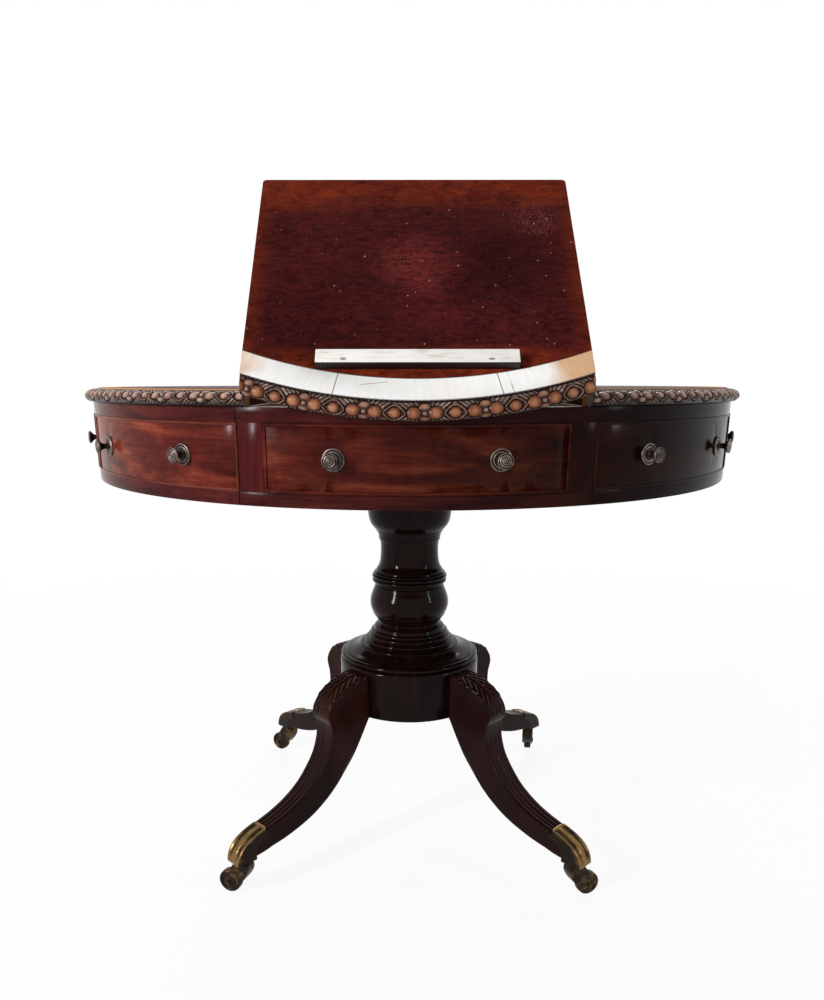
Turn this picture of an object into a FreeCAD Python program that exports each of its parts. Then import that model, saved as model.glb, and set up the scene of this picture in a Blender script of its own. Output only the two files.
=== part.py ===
"""Revolving drum table with a reading slope, drawers, a turned column and four sabre legs on casters.

Lengths are in millimetres and angles in degrees. +Z is up, the front is towards -Y,
and the origin is on the floor under the middle of the column.
"""
import FreeCAD, Part
import math
import os
import re

import Sketcher

from FreeCAD import Placement, Rotation, Vector

doc = FreeCAD.newDocument("DrumTable")

# Driving dimensions
SIZES = {
    # Whole table
    "table_height": 760,
    "rim_overhang": 11,
    "rim_thickness": 18,
    "carving_width": 18,
    "running_gap": 0.3,
    "pin_clearance": 0.05,
    "cut_overrun": 5,
    # Frieze of the drum
    "frieze_radius": 479,
    "frieze_thickness": 20,
    "frieze_height": 108,
    "upper_rail_height": 17,
    "lower_rail_height": 16,
    "section_angle": 45,
    "front_half_angle": 20.6,
    "cockbead_width": 3.2,
    "cockbead_depth": 8,
    "cockbead_proud": 1.2,
    # Floor, dust board and carcass of the drum
    "bottom_board_inset": 3,
    "bottom_board_thickness": 10,
    "dust_board_thickness": 4,
    "partition_thickness": 8,
    "partition_gap": 1.5,
    "partition_setback": 9.5,
    "runner_width": 20,
    # Drawers
    "drawer_gap": 0.5,
    "drawer_side_thickness": 8,
    "drawer_side_height": 62,
    "drawer_back_thickness": 7,
    "drawer_bottom_thickness": 4,
    "drawer_bottom_lift": 3.5,
    # Knobs
    "knob_angle": 10.8,
    "knob_plate_radius": 12.8,
    "knob_plate_thickness": 2.6,
    "knob_stem_radius": 3.4,
    "knob_head_radius": 9,
    "knob_head_edge": 2.4,
    "knob_projection": 18,
    "knob_shank_radius": 2,
    "knob_nut_radius": 5.5,
    "knob_nut_thickness": 3,
    # Reading slope
    "slope_half_width": 187.2,
    "slope_side_gap": 0.6,
    "slope_length": 358,
    "slope_tilt": 45.2,
    "slope_axis_setback": 12,
    "slope_axis_drop": 3.5,
    "slope_relief": 2.3,
    "lip_relief": 3.5,
    "hinge_length": 44,
    "hinge_offset": 34,
    "hinge_knuckle_radius": 3.2,
    "hinge_pin_radius": 1.5,
    "hinge_leaf_thickness": 1.4,
    "hinge_leaf_length": 30,
    # Strut and rack behind the slope
    "strut_reach": 175,
    "strut_thickness": 7,
    "strut_width": 150,
    "strut_bar_width": 20,
    "strut_pin_radius": 1.5,
    "strut_bracket_width": 12,
    "rack_height": 5,
    "rack_width": 14,
    "rack_length": 72,
    "rack_tooth_pitch": 9,
    "rack_tooth_depth": 3,
    "ledge_width": 20,
    "ledge_lap": 8,
    # Book rest
    "book_rest_length": 215,
    "book_rest_width": 19,
    "book_rest_thickness": 12,
    "book_rest_proud": 10,
    "book_rest_distance": 37.8,
    "rest_peg_radius": 4,
    "rest_peg_length": 16,
    "rest_peg_offset": 78,
    # Bearing of the drum
    "bearing_block_radius": 105,
    "bearing_block_height": 34,
    "washer_radius": 42,
    "washer_thickness": 3,
    "spindle_radius": 12,
    "spindle_depth": 120,
    "nut_radius": 21,
    "nut_height": 10,
    # Column and hub
    "column_radius": 70,
    "column_tenon_radius": 22,
    "column_tenon_length": 60,
    "hub_radius": 119.5,
    "hub_height": 83.5,
    "hub_bottom": 229,
    "hub_edge_round": 3,
    "hub_housing_depth": 19,
    "strap_thickness": 3,
    "strap_width": 24,
    "strap_setback": 4.5,
    "screw_radius": 2.5,
    "screw_length": 22,
    # Legs and toe caps
    "base_turn_angle": -0.8,
    "leg_reach": 381,
    "leg_rise": 305,
    "leg_root_width": 46,
    "leg_toe_width": 30.5,
    "cap_overlap": 1,
    "cap_bottom": 60,
    # Casters
    "wheel_radius": 18.5,
    "wheel_width": 14,
    "wheel_edge_round": 2,
    "axle_radius": 3,
    "axle_head": 1.2,
    "caster_trail": 24,
    "caster_setback": 19,
    "swivel_plate_radius": 11,
    "swivel_plate_thickness": 4,
    "swivel_pin_radius": 4,
    "swivel_pin_length": 20,
    "cheek_thickness": 2.5,
    "wheel_gap": 1,
}

sheet = doc.addObject("Spreadsheet::Sheet", "Sizes")
for row, (name, value) in enumerate(SIZES.items(), start=1):
    sheet.set(f"A{row}", name)
    sheet.set(f"B{row}", str(value))
    sheet.setAlias(f"B{row}", name)
doc.recompute()


def linked(expression):
    """Point every size name in an expression at its cell."""
    return re.sub(r"[a-z_]+", lambda word: f"Sizes.{word[0]}" if word[0] in SIZES else word[0], expression)


def size(expression):
    """Value of an expression of size names."""
    value = sheet.evalExpression(linked(expression))
    return float(getattr(value, "Value", value))


def bind(item, **sizes):
    """Bind properties of an object to expressions of size names."""
    for name, expression in sizes.items():
        item.setExpression(name.replace("__", "."), linked(expression))
    return item


# Heights and places that several pieces share
RIM_RADIUS = "(frieze_radius + rim_overhang)"
TOP_UNDERSIDE = "(table_height - rim_thickness)"
DRUM_BOTTOM = f"({TOP_UNDERSIDE} - frieze_height)"
OPENING_BOTTOM = f"({DRUM_BOTTOM} + lower_rail_height)"
OPENING_TOP = f"({TOP_UNDERSIDE} - upper_rail_height)"
OPENING_HEIGHT = "(frieze_height - upper_rail_height - lower_rail_height)"
INNER_RADIUS = "(frieze_radius - frieze_thickness)"
OPENING_HALF_WIDTH = "(frieze_radius * sin(front_half_angle))"
FACE_HALF_WIDTH = f"({OPENING_HALF_WIDTH} - drawer_gap)"
CORE_HALF_WIDTH = f"({OPENING_HALF_WIDTH} + partition_setback)"
FLOOR_TOP = f"({DRUM_BOTTOM} + bottom_board_inset + bottom_board_thickness)"
DUST_BOTTOM = f"({OPENING_TOP} + running_gap)"
DUST_TOP = f"({DUST_BOTTOM} + dust_board_thickness)"
BLOCK_BOTTOM = f"({DRUM_BOTTOM} + bottom_board_inset - bearing_block_height)"
HUB_TOP = "(hub_bottom + hub_height)"
COLUMN_TOP = f"({BLOCK_BOTTOM} - running_gap - washer_thickness)"
AXIS_Y = "(slope_axis_setback - frieze_radius)"
SLOPE_BACK = "(frieze_radius - slope_axis_setback - slope_length)"
AXIS_Z = f"({TOP_UNDERSIDE} - slope_axis_drop)"
WELL_HALF_WIDTH = "(slope_half_width + slope_side_gap)"
STRAP_REACH = "(hub_radius - strap_setback)"
CASTER_DISTANCE = "(leg_reach - caster_setback)"

X_AXIS = Vector(1, 0, 0)
Z_AXIS = Vector(0, 0, 1)


def box(label, low_x, low_y, low_z, length, width, height):
    """Part::Box with its corner and its sides bound to the sheet."""
    item = doc.addObject("Part::Box", label)
    bind(item, Length=length, Width=width, Height=height,
         Placement__Base__x=low_x, Placement__Base__y=low_y, Placement__Base__z=low_z)
    return item


def cylinder(label, radius, low_z, height, angle="360"):
    """Part::Cylinder about the Z axis, bound to the sheet."""
    item = doc.addObject("Part::Cylinder", label)
    bind(item, Radius=radius, Height=height, Angle=angle, Placement__Base__z=low_z)
    return item


def cut(label, base, tool):
    item = doc.addObject("Part::Cut", label)
    item.Base = base
    item.Tool = tool
    return item


def fuse(label, items):
    item = doc.addObject("Part::MultiFuse", label)
    item.Shapes = items
    return item


def common(label, items):
    item = doc.addObject("Part::MultiCommon", label)
    item.Shapes = items
    return item


def group(label, items):
    """Separate solids that share one node."""
    item = doc.addObject("Part::Compound", label)
    item.Links = items
    return item


def shaped(label, shape):
    """Piece whose shape is made directly."""
    item = doc.addObject("Part::Feature", label)
    item.Shape = shape
    return item


def copied(label, source, placement):
    """Same piece in another place."""
    item = shaped(label, source.Shape.copy())
    item.Placement = placement.multiply(source.Placement)
    return item


def turned_about_z(degrees):
    return Placement(Vector(), Rotation(Z_AXIS, degrees))


def turned_about_x(degrees, y, z):
    """Turn about a line along X through a point."""
    return Placement(Vector(), Rotation(X_AXIS, degrees), Vector(0, y, z))


def turned_body(label, outline):
    """PartDesign body turned about Z from an outline.

    Each outline entry is a radius and a height, or a radius and a height on an arc
    followed by the radius and the height where that arc ends.
    """
    body = doc.addObject("PartDesign::Body", label)
    sketch = body.newObject("Sketcher::SketchObject", label + "_outline")
    plane = next(item for item in body.Origin.OriginFeatures if item.Role == "XZ_Plane")
    sketch.AttachmentSupport = [(plane, "")]
    sketch.MapMode = "FlatFace"
    ends = [entry[-2:] for entry in outline]
    places = [Vector(size(radius), size(height), 0) for radius, height in ends]
    finishes = []
    for index, entry in enumerate(outline):
        start, end = places[index - 1], places[index]
        if len(entry) == 2:
            sketch.addGeometry(Part.LineSegment(start, end), False)
            finishes.append(2)
            continue
        middle = Vector(size(entry[0]), size(entry[1]), 0)
        clockwise = (middle - start).cross(end - start).z < 0
        arc = Part.Arc(end, middle, start) if clockwise else Part.Arc(start, middle, end)
        sketch.addGeometry(arc, False)
        sketch.addConstraint(Sketcher.Constraint("Radius", index, sketch.Geometry[index].Radius))
        finishes.append(1 if clockwise else 2)
    for index, (radius, height) in enumerate(ends):
        finish = finishes[index]
        following = (index + 1) % len(ends)
        sketch.addConstraint(Sketcher.Constraint("Coincident", index, finish, following,
                                                 3 - finishes[following]))
        if radius == "0":
            sketch.addConstraint(Sketcher.Constraint("PointOnObject", index, finish, -2))
        else:
            place = sketch.addConstraint(
                Sketcher.Constraint("DistanceX", -1, 1, index, finish, places[index].x))
            sketch.setExpression(f"Constraints[{place}]", linked(radius))
        place = sketch.addConstraint(Sketcher.Constraint("DistanceY", -1, 1, index, finish,
                                                         places[index].y))
        sketch.setExpression(f"Constraints[{place}]", linked(height))
    revolution = body.newObject("PartDesign::Revolution", label + "_turning")
    revolution.Profile = sketch
    revolution.ReferenceAxis = (sketch, ["V_Axis"])
    revolution.Angle = 360
    return body


def outline_face(points):
    """Face in the XZ plane inside straight runs and smooth curves.

    A list inside the list of points is a smooth curve that starts where the last point ended.
    """
    edges = []
    last = None
    for item in points:
        if isinstance(item, list):
            places = [last] + [Vector(x, 0, z) for x, z in item]
            curve = Part.BSplineCurve()
            curve.interpolate(places)
            edges.append(curve.toShape())
            last = places[-1]
            continue
        place = Vector(item[0], 0, item[1])
        if last is not None:
            edges.append(Part.makeLine(last, place))
        last = place
    edges.append(Part.makeLine(last, edges[0].Vertexes[0].Point))
    return Part.Face(Part.Wire(edges))


# Table top, carved rim and frieze rings


def moulding_outline(inner, outer, low, high):
    """Section of the carved rim: a bold rounded band with a small quirk at its inner edge."""
    width = f"({outer} - {inner})"
    depth = f"({high} - {low})"
    quirk_share, top_share, nose_share, foot_share = 0.04, 0.66, 0.5, 0.75
    shoulder_share, belly_share = 0.9, 0.2
    return [
        (inner, low),
        (inner, f"{high} - {depth} * {quirk_share}"),
        (f"{inner} + {width} * {top_share}", f"{high} - {depth} * {quirk_share * 4}",
         outer, f"{low} + {depth} * {nose_share}"),
        (f"{inner} + {width} * {(1 + shoulder_share) / 2}", f"{low} + {depth} * {belly_share}",
         f"{inner} + {width} * {foot_share}", low),
    ]


def ring(label, inner, outer, low, height):
    return cut(label, cylinder(label + "_outside", outer, low, height),
               cylinder(label + "_inside", inner, f"{low} - cut_overrun", f"{height} + 2 * cut_overrun"))


SLOPE_CUT_BACK = f"({SLOPE_BACK} - slope_side_gap)"


def slope_gap(label):
    """Box that clears the way for the reading slope in the fixed top."""
    return box(label, f"-{WELL_HALF_WIDTH}", f"-{RIM_RADIUS} - cut_overrun",
               f"{TOP_UNDERSIDE} - cut_overrun",
               f"2 * {WELL_HALF_WIDTH}", f"{RIM_RADIUS} + cut_overrun - {SLOPE_CUT_BACK}",
               "rim_thickness + 2 * cut_overrun")


BOARD_RADIUS = f"({RIM_RADIUS} - carving_width)"
table_top = cut("table_top", cylinder("top_disc", BOARD_RADIUS, TOP_UNDERSIDE, "rim_thickness"),
                slope_gap("top_slope_gap"))
rim_ring = turned_body("rim_moulding", moulding_outline(BOARD_RADIUS, RIM_RADIUS, TOP_UNDERSIDE,
                                                        "table_height"))
carved_rim = cut("carved_rim", rim_ring, slope_gap("rim_slope_gap"))

HINGE_LOW = f"({AXIS_Z} - hinge_knuckle_radius - running_gap)"
hinge_pockets = [
    box(f"hinge_pocket_{side}", f"{sign} * hinge_offset - hinge_length / 2 - running_gap",
        f"{AXIS_Y} - hinge_knuckle_radius - 2 * running_gap", HINGE_LOW,
        "hinge_length + 2 * running_gap", "frieze_thickness + hinge_leaf_length",
        f"{TOP_UNDERSIDE} + cut_overrun - {HINGE_LOW}")
    for side, sign in (("left", -1), ("right", 1))
]
upper_rail = cut("upper_rail", ring("upper_ring", INNER_RADIUS, "frieze_radius", OPENING_TOP,
                                    "upper_rail_height"),
                 fuse("hinge_pockets", hinge_pockets))
lower_rail = ring("lower_rail", INNER_RADIUS, "frieze_radius", DRUM_BOTTOM, "lower_rail_height")


def front_sector(label, radius, low, height, inset="0"):
    """Wedge of a disc behind the first fixed front."""
    half_angle = f"(front_half_angle - {inset})"
    wedge = cylinder(label, radius, low, height, f"2 * {half_angle}")
    bind(wedge, Placement__Rotation__Angle=f"-90 + section_angle - {half_angle}")
    return wedge


def four_turns(label, source, start=0, step=90):
    """Group of four copies of one piece, a quarter turn apart."""
    return shaped(label, Part.Compound([
        copied(f"{label}_{count}", source, turned_about_z(start + step * count)).Shape
        for count in range(4)]))


BEAD_ANGLE = "(cockbead_width / frieze_radius * 180 / pi)"
BEAD_OUTER = "(frieze_radius + cockbead_proud)"
BEAD_INNER = "(frieze_radius - cockbead_depth)"

# Fixed fronts on the diagonals, each with its cockbead
fixed_block = common("fixed_block", [
    ring("fixed_ring", INNER_RADIUS, "frieze_radius", OPENING_BOTTOM, OPENING_HEIGHT),
    front_sector("fixed_wedge", RIM_RADIUS, OPENING_BOTTOM, OPENING_HEIGHT)])
fixed_bead_block = common("fixed_bead_block", [
    ring("fixed_bead_ring", BEAD_INNER, BEAD_OUTER, OPENING_BOTTOM, OPENING_HEIGHT),
    front_sector("fixed_bead_wedge", RIM_RADIUS, OPENING_BOTTOM, OPENING_HEIGHT)])
fixed_bead = cut("fixed_bead", fixed_bead_block,
                 front_sector("fixed_bead_window", f"{RIM_RADIUS} + cut_overrun",
                              f"{OPENING_BOTTOM} + cockbead_width",
                              f"{OPENING_HEIGHT} - 2 * cockbead_width",
                              BEAD_ANGLE))
fixed_panel = cut("fixed_panel", fixed_block, fixed_bead)

# Stiles between the fronts: what is left of a ring after the drawer bays and the fixed fronts
bay_along_y = box("bay_along_y", f"-{OPENING_HALF_WIDTH}", f"-{RIM_RADIUS}",
                  f"{OPENING_BOTTOM} - cut_overrun",
                  f"2 * {OPENING_HALF_WIDTH}", f"2 * {RIM_RADIUS}", f"{OPENING_HEIGHT} + 2 * cut_overrun")
bay_along_x = box("bay_along_x", f"-{RIM_RADIUS}", f"-{OPENING_HALF_WIDTH}",
                  f"{OPENING_BOTTOM} - cut_overrun",
                  f"2 * {RIM_RADIUS}", f"2 * {OPENING_HALF_WIDTH}", f"{OPENING_HEIGHT} + 2 * cut_overrun")
doc.recompute()
fixed_panels = four_turns("fixed_panels", fixed_panel)
fixed_beads = four_turns("fixed_front_beads", fixed_bead)
fixed_wedges = four_turns("fixed_wedges", fixed_block)
stiles = cut("frieze_stiles", ring("stile_ring", INNER_RADIUS, "frieze_radius", OPENING_BOTTOM,
                                   OPENING_HEIGHT),
             fuse("stile_bays", [bay_along_y, bay_along_x, fixed_wedges]))

# Carcass inside the drum
SPINDLE_HOLE = "(spindle_radius + pin_clearance)"
bottom_board = ring("bottom_board", SPINDLE_HOLE, INNER_RADIUS, f"{DRUM_BOTTOM} + bottom_board_inset",
                    "bottom_board_thickness")
bearing_block = ring("bearing_block", SPINDLE_HOLE, "bearing_block_radius", BLOCK_BOTTOM,
                     "bearing_block_height")
dust_board = cylinder("dust_board", INNER_RADIUS, DUST_BOTTOM, "dust_board_thickness")

PARTITION_INNER = f"({OPENING_HALF_WIDTH} + partition_gap)"
carcass_disc = cylinder("carcass_disc", INNER_RADIUS, FLOOR_TOP, f"{DUST_BOTTOM} - {FLOOR_TOP}")
partition_left = box("partition_left", f"-{PARTITION_INNER} - partition_thickness", f"-{RIM_RADIUS}",
                     FLOOR_TOP,
                     "partition_thickness", f"{RIM_RADIUS} - {CORE_HALF_WIDTH}",
                     f"{DUST_BOTTOM} - {FLOOR_TOP}")
partition_right = box("partition_right", PARTITION_INNER, f"-{RIM_RADIUS}", FLOOR_TOP,
                      "partition_thickness", f"{RIM_RADIUS} - {CORE_HALF_WIDTH}",
                      f"{DUST_BOTTOM} - {FLOOR_TOP}")
partition_blanks = group("partition_blanks", [partition_left, partition_right])
partition_pair = common("partition_pair", [carcass_disc, partition_blanks])
RUNNER_HEIGHT = f"({OPENING_BOTTOM} - {FLOOR_TOP} - running_gap)"
runner_disc = cylinder("runner_disc", INNER_RADIUS, FLOOR_TOP, RUNNER_HEIGHT)
runner_left = box("runner_left", f"-{PARTITION_INNER}", f"-{RIM_RADIUS}", FLOOR_TOP,
                  "runner_width", f"{RIM_RADIUS} - {CORE_HALF_WIDTH}", RUNNER_HEIGHT)
runner_right = box("runner_right", f"{PARTITION_INNER} - runner_width", f"-{RIM_RADIUS}", FLOOR_TOP,
                   "runner_width", f"{RIM_RADIUS} - {CORE_HALF_WIDTH}", RUNNER_HEIGHT)
runner_pair = common("runner_pair", [runner_disc, group("runner_blanks", [runner_left, runner_right])])

# Bearers under the top: ledges round the well of the slope and two battens behind it
BEARER_HEIGHT = f"({TOP_UNDERSIDE} - {DUST_TOP})"
LEDGE_INNER = f"({WELL_HALF_WIDTH} - ledge_lap)"
LEDGE_BACK = f"({SLOPE_BACK} + ledge_lap / 4)"
ledge_disc = cylinder("ledge_disc", INNER_RADIUS, DUST_TOP, BEARER_HEIGHT)
ledges = [
    box("left_ledge", f"-{LEDGE_INNER} - ledge_width", f"-{RIM_RADIUS}", DUST_TOP,
        "ledge_width", f"{RIM_RADIUS} - {LEDGE_BACK}", BEARER_HEIGHT),
    box("right_ledge", LEDGE_INNER, f"-{RIM_RADIUS}", DUST_TOP,
        "ledge_width", f"{RIM_RADIUS} - {LEDGE_BACK}", BEARER_HEIGHT),
    box("back_ledge", f"-{LEDGE_INNER} - ledge_width", f"-{LEDGE_BACK}", DUST_TOP,
        f"2 * ({LEDGE_INNER} + ledge_width)", "ledge_width", BEARER_HEIGHT),
    box("left_batten", f"-{LEDGE_INNER}", f"-{LEDGE_BACK} + ledge_width", DUST_TOP,
        "2 * ledge_width", f"{RIM_RADIUS} + {LEDGE_BACK}", BEARER_HEIGHT),
    box("right_batten", f"{LEDGE_INNER} - 2 * ledge_width", f"-{LEDGE_BACK} + ledge_width", DUST_TOP,
        "2 * ledge_width", f"{RIM_RADIUS} + {LEDGE_BACK}", BEARER_HEIGHT),
]
top_bearers = common("top_bearers", [ledge_disc, group("bearer_blanks", ledges)])
doc.recompute()
drawer_partitions = four_turns("drawer_partitions", partition_pair)
drawer_runners = four_turns("drawer_runners", runner_pair)

# Front drawer; the other three are copies of it
FACE_LOW = f"({OPENING_BOTTOM} + running_gap)"
FACE_HEIGHT = f"({OPENING_HEIGHT} - 2 * running_gap)"


def face_box(label, half_width, low, height):
    return box(label, f"-{half_width}", f"-{BEAD_OUTER} - cut_overrun", low,
               f"2 * {half_width}", f"{BEAD_OUTER}", height)


face_block = common("face_block", [
    ring("face_ring", INNER_RADIUS, "frieze_radius", FACE_LOW, FACE_HEIGHT),
    face_box("face_edges", FACE_HALF_WIDTH, FACE_LOW, FACE_HEIGHT)])
face_bead_block = common("face_bead_block", [
    ring("face_bead_ring", BEAD_INNER, BEAD_OUTER, FACE_LOW, FACE_HEIGHT),
    face_box("face_bead_edges", FACE_HALF_WIDTH, FACE_LOW, FACE_HEIGHT)])
face_bead = cut("face_bead", face_bead_block,
                face_box("face_bead_window", f"({FACE_HALF_WIDTH} - cockbead_width)",
                         f"{FACE_LOW} + cockbead_width", f"{FACE_HEIGHT} - 2 * cockbead_width"))

KNOB_HEIGHT = f"({OPENING_BOTTOM} + {OPENING_HEIGHT} / 2)"


def knob_outline():
    """Back plate, waisted stem, dished head and the shank that passes through the front."""
    plate = f"(frieze_radius + knob_plate_thickness)"
    tip = "(frieze_radius + knob_projection)"
    waist_share, flare_share = 0.5, 0.55
    neck = f"({plate} + ({tip} - {plate}) * {waist_share})"
    nut_top = f"({INNER_RADIUS} - running_gap / 3)"
    return [
        ("0", f"{nut_top} - knob_nut_thickness - knob_shank_radius"),
        ("knob_shank_radius", f"{nut_top} - knob_nut_thickness - knob_shank_radius"),
        ("knob_shank_radius", f"{nut_top} - knob_nut_thickness"),
        ("knob_nut_radius", f"{nut_top} - knob_nut_thickness"),
        ("knob_nut_radius", nut_top),
        ("knob_shank_radius", nut_top),
        ("knob_shank_radius", "frieze_radius"),
        ("knob_plate_radius", "frieze_radius"),
        ("knob_plate_radius", f"frieze_radius + knob_plate_thickness * {waist_share}"),
        (f"knob_plate_radius * {flare_share}", plate),
        ("knob_stem_radius", neck),
        (f"knob_head_radius * {flare_share}", f"{tip} - knob_head_edge * 2"),
        ("knob_head_radius", f"{tip} - knob_head_edge"),
        ("knob_head_radius", tip),
        ("0", tip),
    ]


knob_master = turned_body("knob_master", knob_outline())
shank_hole = cylinder("shank_hole", "knob_shank_radius", INNER_RADIUS + " - cut_overrun",
                      "frieze_thickness + 2 * cut_overrun")
doc.recompute()


def knob_place(degrees):
    """Lay a knob's axis along the radius at an angle from the front."""
    lying = Placement(Vector(0, 0, size(KNOB_HEIGHT)), Rotation(X_AXIS, 90))
    return turned_about_z(degrees).multiply(lying)


def knob_pair(label, source, middle=0):
    angle = size("knob_angle")
    return shaped(label, Part.Compound([
        copied(f"{label}_{side}", source, knob_place(middle + turn)).Shape
        for side, turn in (("left", -angle), ("right", angle))]))


front_knobs = knob_pair("front_knobs", knob_master)
front_holes = knob_pair("front_holes", shank_hole)
fixed_pair = knob_pair("fixed_pair", knob_master, size("section_angle"))
fixed_holes = knob_pair("fixed_holes", shank_hole, size("section_angle"))
fixed_knobs = four_turns("fixed_front_knobs", fixed_pair)
fixed_fronts = cut("fixed_fronts", fixed_panels, four_turns("fixed_front_holes", fixed_holes))
front_face = group("front_face", [cut("face_drilled", cut("face_rebated", face_block, face_bead),
                                      front_holes),
                                  face_bead])

DRAWER_OUTER = f"({FACE_HALF_WIDTH} - drawer_gap)"
DRAWER_BACK = f"({CORE_HALF_WIDTH} + drawer_gap)"
SIDE_LENGTH = f"({RIM_RADIUS} - {DRAWER_BACK})"
BOTTOM_LOW = f"({FACE_LOW} + drawer_bottom_lift)"
drawer_disc = cylinder("drawer_disc", INNER_RADIUS, FACE_LOW, "drawer_side_height")
drawer_boards = [
    box("left_side", f"-{DRAWER_OUTER}", f"-{RIM_RADIUS}", FACE_LOW,
        "drawer_side_thickness", SIDE_LENGTH, "drawer_side_height"),
    box("right_side", f"{DRAWER_OUTER} - drawer_side_thickness", f"-{RIM_RADIUS}", FACE_LOW,
        "drawer_side_thickness", SIDE_LENGTH, "drawer_side_height"),
    box("drawer_back", f"-{DRAWER_OUTER} + drawer_side_thickness",
        f"-{DRAWER_BACK} - drawer_back_thickness",
        FACE_LOW, f"2 * ({DRAWER_OUTER} - drawer_side_thickness)", "drawer_back_thickness",
        "drawer_side_height"),
    box("drawer_bottom", f"-{DRAWER_OUTER} + drawer_side_thickness", f"-{RIM_RADIUS}", BOTTOM_LOW,
        f"2 * ({DRAWER_OUTER} - drawer_side_thickness)", f"{SIDE_LENGTH} - drawer_back_thickness",
        "drawer_bottom_thickness"),
]
front_box = common("front_box", [drawer_disc, group("drawer_blanks", drawer_boards)])
doc.recompute()
drawers = {}
for side, turn in (("front", 0), ("right", 90), ("back", 180), ("left", 270)):
    for piece, master in (("face", front_face), ("box", front_box), ("knobs", front_knobs)):
        node = f"{side}_drawer_{piece}"
        drawers[node] = copied(node, master, turned_about_z(turn))


# Reading slope, drawn closed and then raised about its hinge line
SLOPE_LOW = f"({TOP_UNDERSIDE} + running_gap)"
SLOPE_THICKNESS = "(rim_thickness - running_gap)"


def slope_box(label):
    return box(label, "-slope_half_width", f"-{RIM_RADIUS} - cut_overrun", SLOPE_LOW,
               "2 * slope_half_width", f"{RIM_RADIUS} + cut_overrun - {SLOPE_BACK}", SLOPE_THICKNESS)


def bar_along_x(label, radius, half_length, y, z, middle="0"):
    """Part::Cylinder along X."""
    item = doc.addObject("Part::Cylinder", label)
    item.Placement = Placement(Vector(), Rotation(Vector(0, 1, 0), 90))
    bind(item, Radius=radius, Height=f"2 * {half_length}", Placement__Base__x=f"{middle} - {half_length}",
         Placement__Base__y=y, Placement__Base__z=z)
    return item


RAIL_CORNER_REACH = "sqrt(slope_axis_setback ^ 2 + slope_axis_drop ^ 2)"
lip_relief = common("lip_relief", [
    bar_along_x("relief_round", f"{RAIL_CORNER_REACH} + slope_relief", "(frieze_radius / 2)", AXIS_Y,
                AXIS_Z),
    cylinder("relief_disc", "frieze_radius + lip_relief", f"{TOP_UNDERSIDE} - rim_thickness",
             "2 * rim_thickness")])
rest_recess = box("rest_recess", "-book_rest_length / 2 - pin_clearance",
                  f"{AXIS_Y} + book_rest_distance - pin_clearance",
                  "table_height - book_rest_thickness - running_gap",
                  "book_rest_length + 2 * pin_clearance", "book_rest_width + 2 * pin_clearance",
                  "book_rest_thickness + cut_overrun")


def rest_peg(label, sign, radius, low, height):
    peg = cylinder(label, radius, low, height)
    bind(peg, Placement__Base__x=f"{sign} * rest_peg_offset",
         Placement__Base__y=f"{AXIS_Y} + book_rest_distance + book_rest_width / 2")
    return peg


peg_holes = [rest_peg(f"peg_hole_{side}", sign, "rest_peg_radius + pin_clearance",
                      f"{TOP_UNDERSIDE} - cut_overrun", "rim_thickness")
             for side, sign in (("left", -1), ("right", 1))]
LEAF_LOW = f"({AXIS_Z} + hinge_knuckle_radius + running_gap)"
LEAF_TOP = f"({LEAF_LOW} + hinge_leaf_thickness)"
STRUT_Y = f"({AXIS_Y} + strut_reach)"
leaf_recesses = [box(f"leaf_recess_{side}", f"{sign} * hinge_offset - hinge_length / 2",
                     AXIS_Y, LEAF_LOW, "hinge_length", "hinge_leaf_length", "hinge_leaf_thickness")
                 for side, sign in (("left", -1), ("right", 1))]
BRACKET_OFFSET = "(strut_width / 2 + strut_bracket_width / 2 + running_gap)"
bracket_recesses = [box(f"bracket_recess_{side}",
                        f"{sign} * {BRACKET_OFFSET} - strut_bracket_width / 2",
                        f"{STRUT_Y} - strut_bracket_width / 2", f"{SLOPE_LOW} - cut_overrun",
                        "strut_bracket_width", "strut_bracket_width", "hinge_leaf_thickness + cut_overrun")
                    for side, sign in (("left", -1), ("right", 1))]
slope_cutters = fuse("slope_cutters",
                     [lip_relief, rest_recess] + peg_holes + leaf_recesses + bracket_recesses)
slope_blank = common("slope_blank", [
    cylinder("slope_disc", BOARD_RADIUS, SLOPE_LOW, SLOPE_THICKNESS), slope_box("slope_edges")])
slope_flat = cut("slope_flat", slope_blank, slope_cutters)
lip_moulding = turned_body("lip_moulding", moulding_outline(BOARD_RADIUS, RIM_RADIUS, SLOPE_LOW,
                                                            "table_height"))
lip_blank = common("lip_blank", [lip_moulding, slope_box("lip_edges")])
lip_flat = cut("lip_flat", lip_blank, lip_relief)

# Rule-joint hinges: the middle knuckle of each turns with the slope
KNUCKLE_HALF = "(hinge_length / 6)"


def knuckle(label, middle, half_length):
    return bar_along_x(label, "hinge_knuckle_radius", half_length, AXIS_Y, AXIS_Z, middle)


def hinge_leaf(label, middle, half_length, low):
    return box(label, f"{middle} - {half_length}", AXIS_Y, low,
               f"2 * {half_length}", "hinge_leaf_length", "hinge_leaf_thickness")


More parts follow.
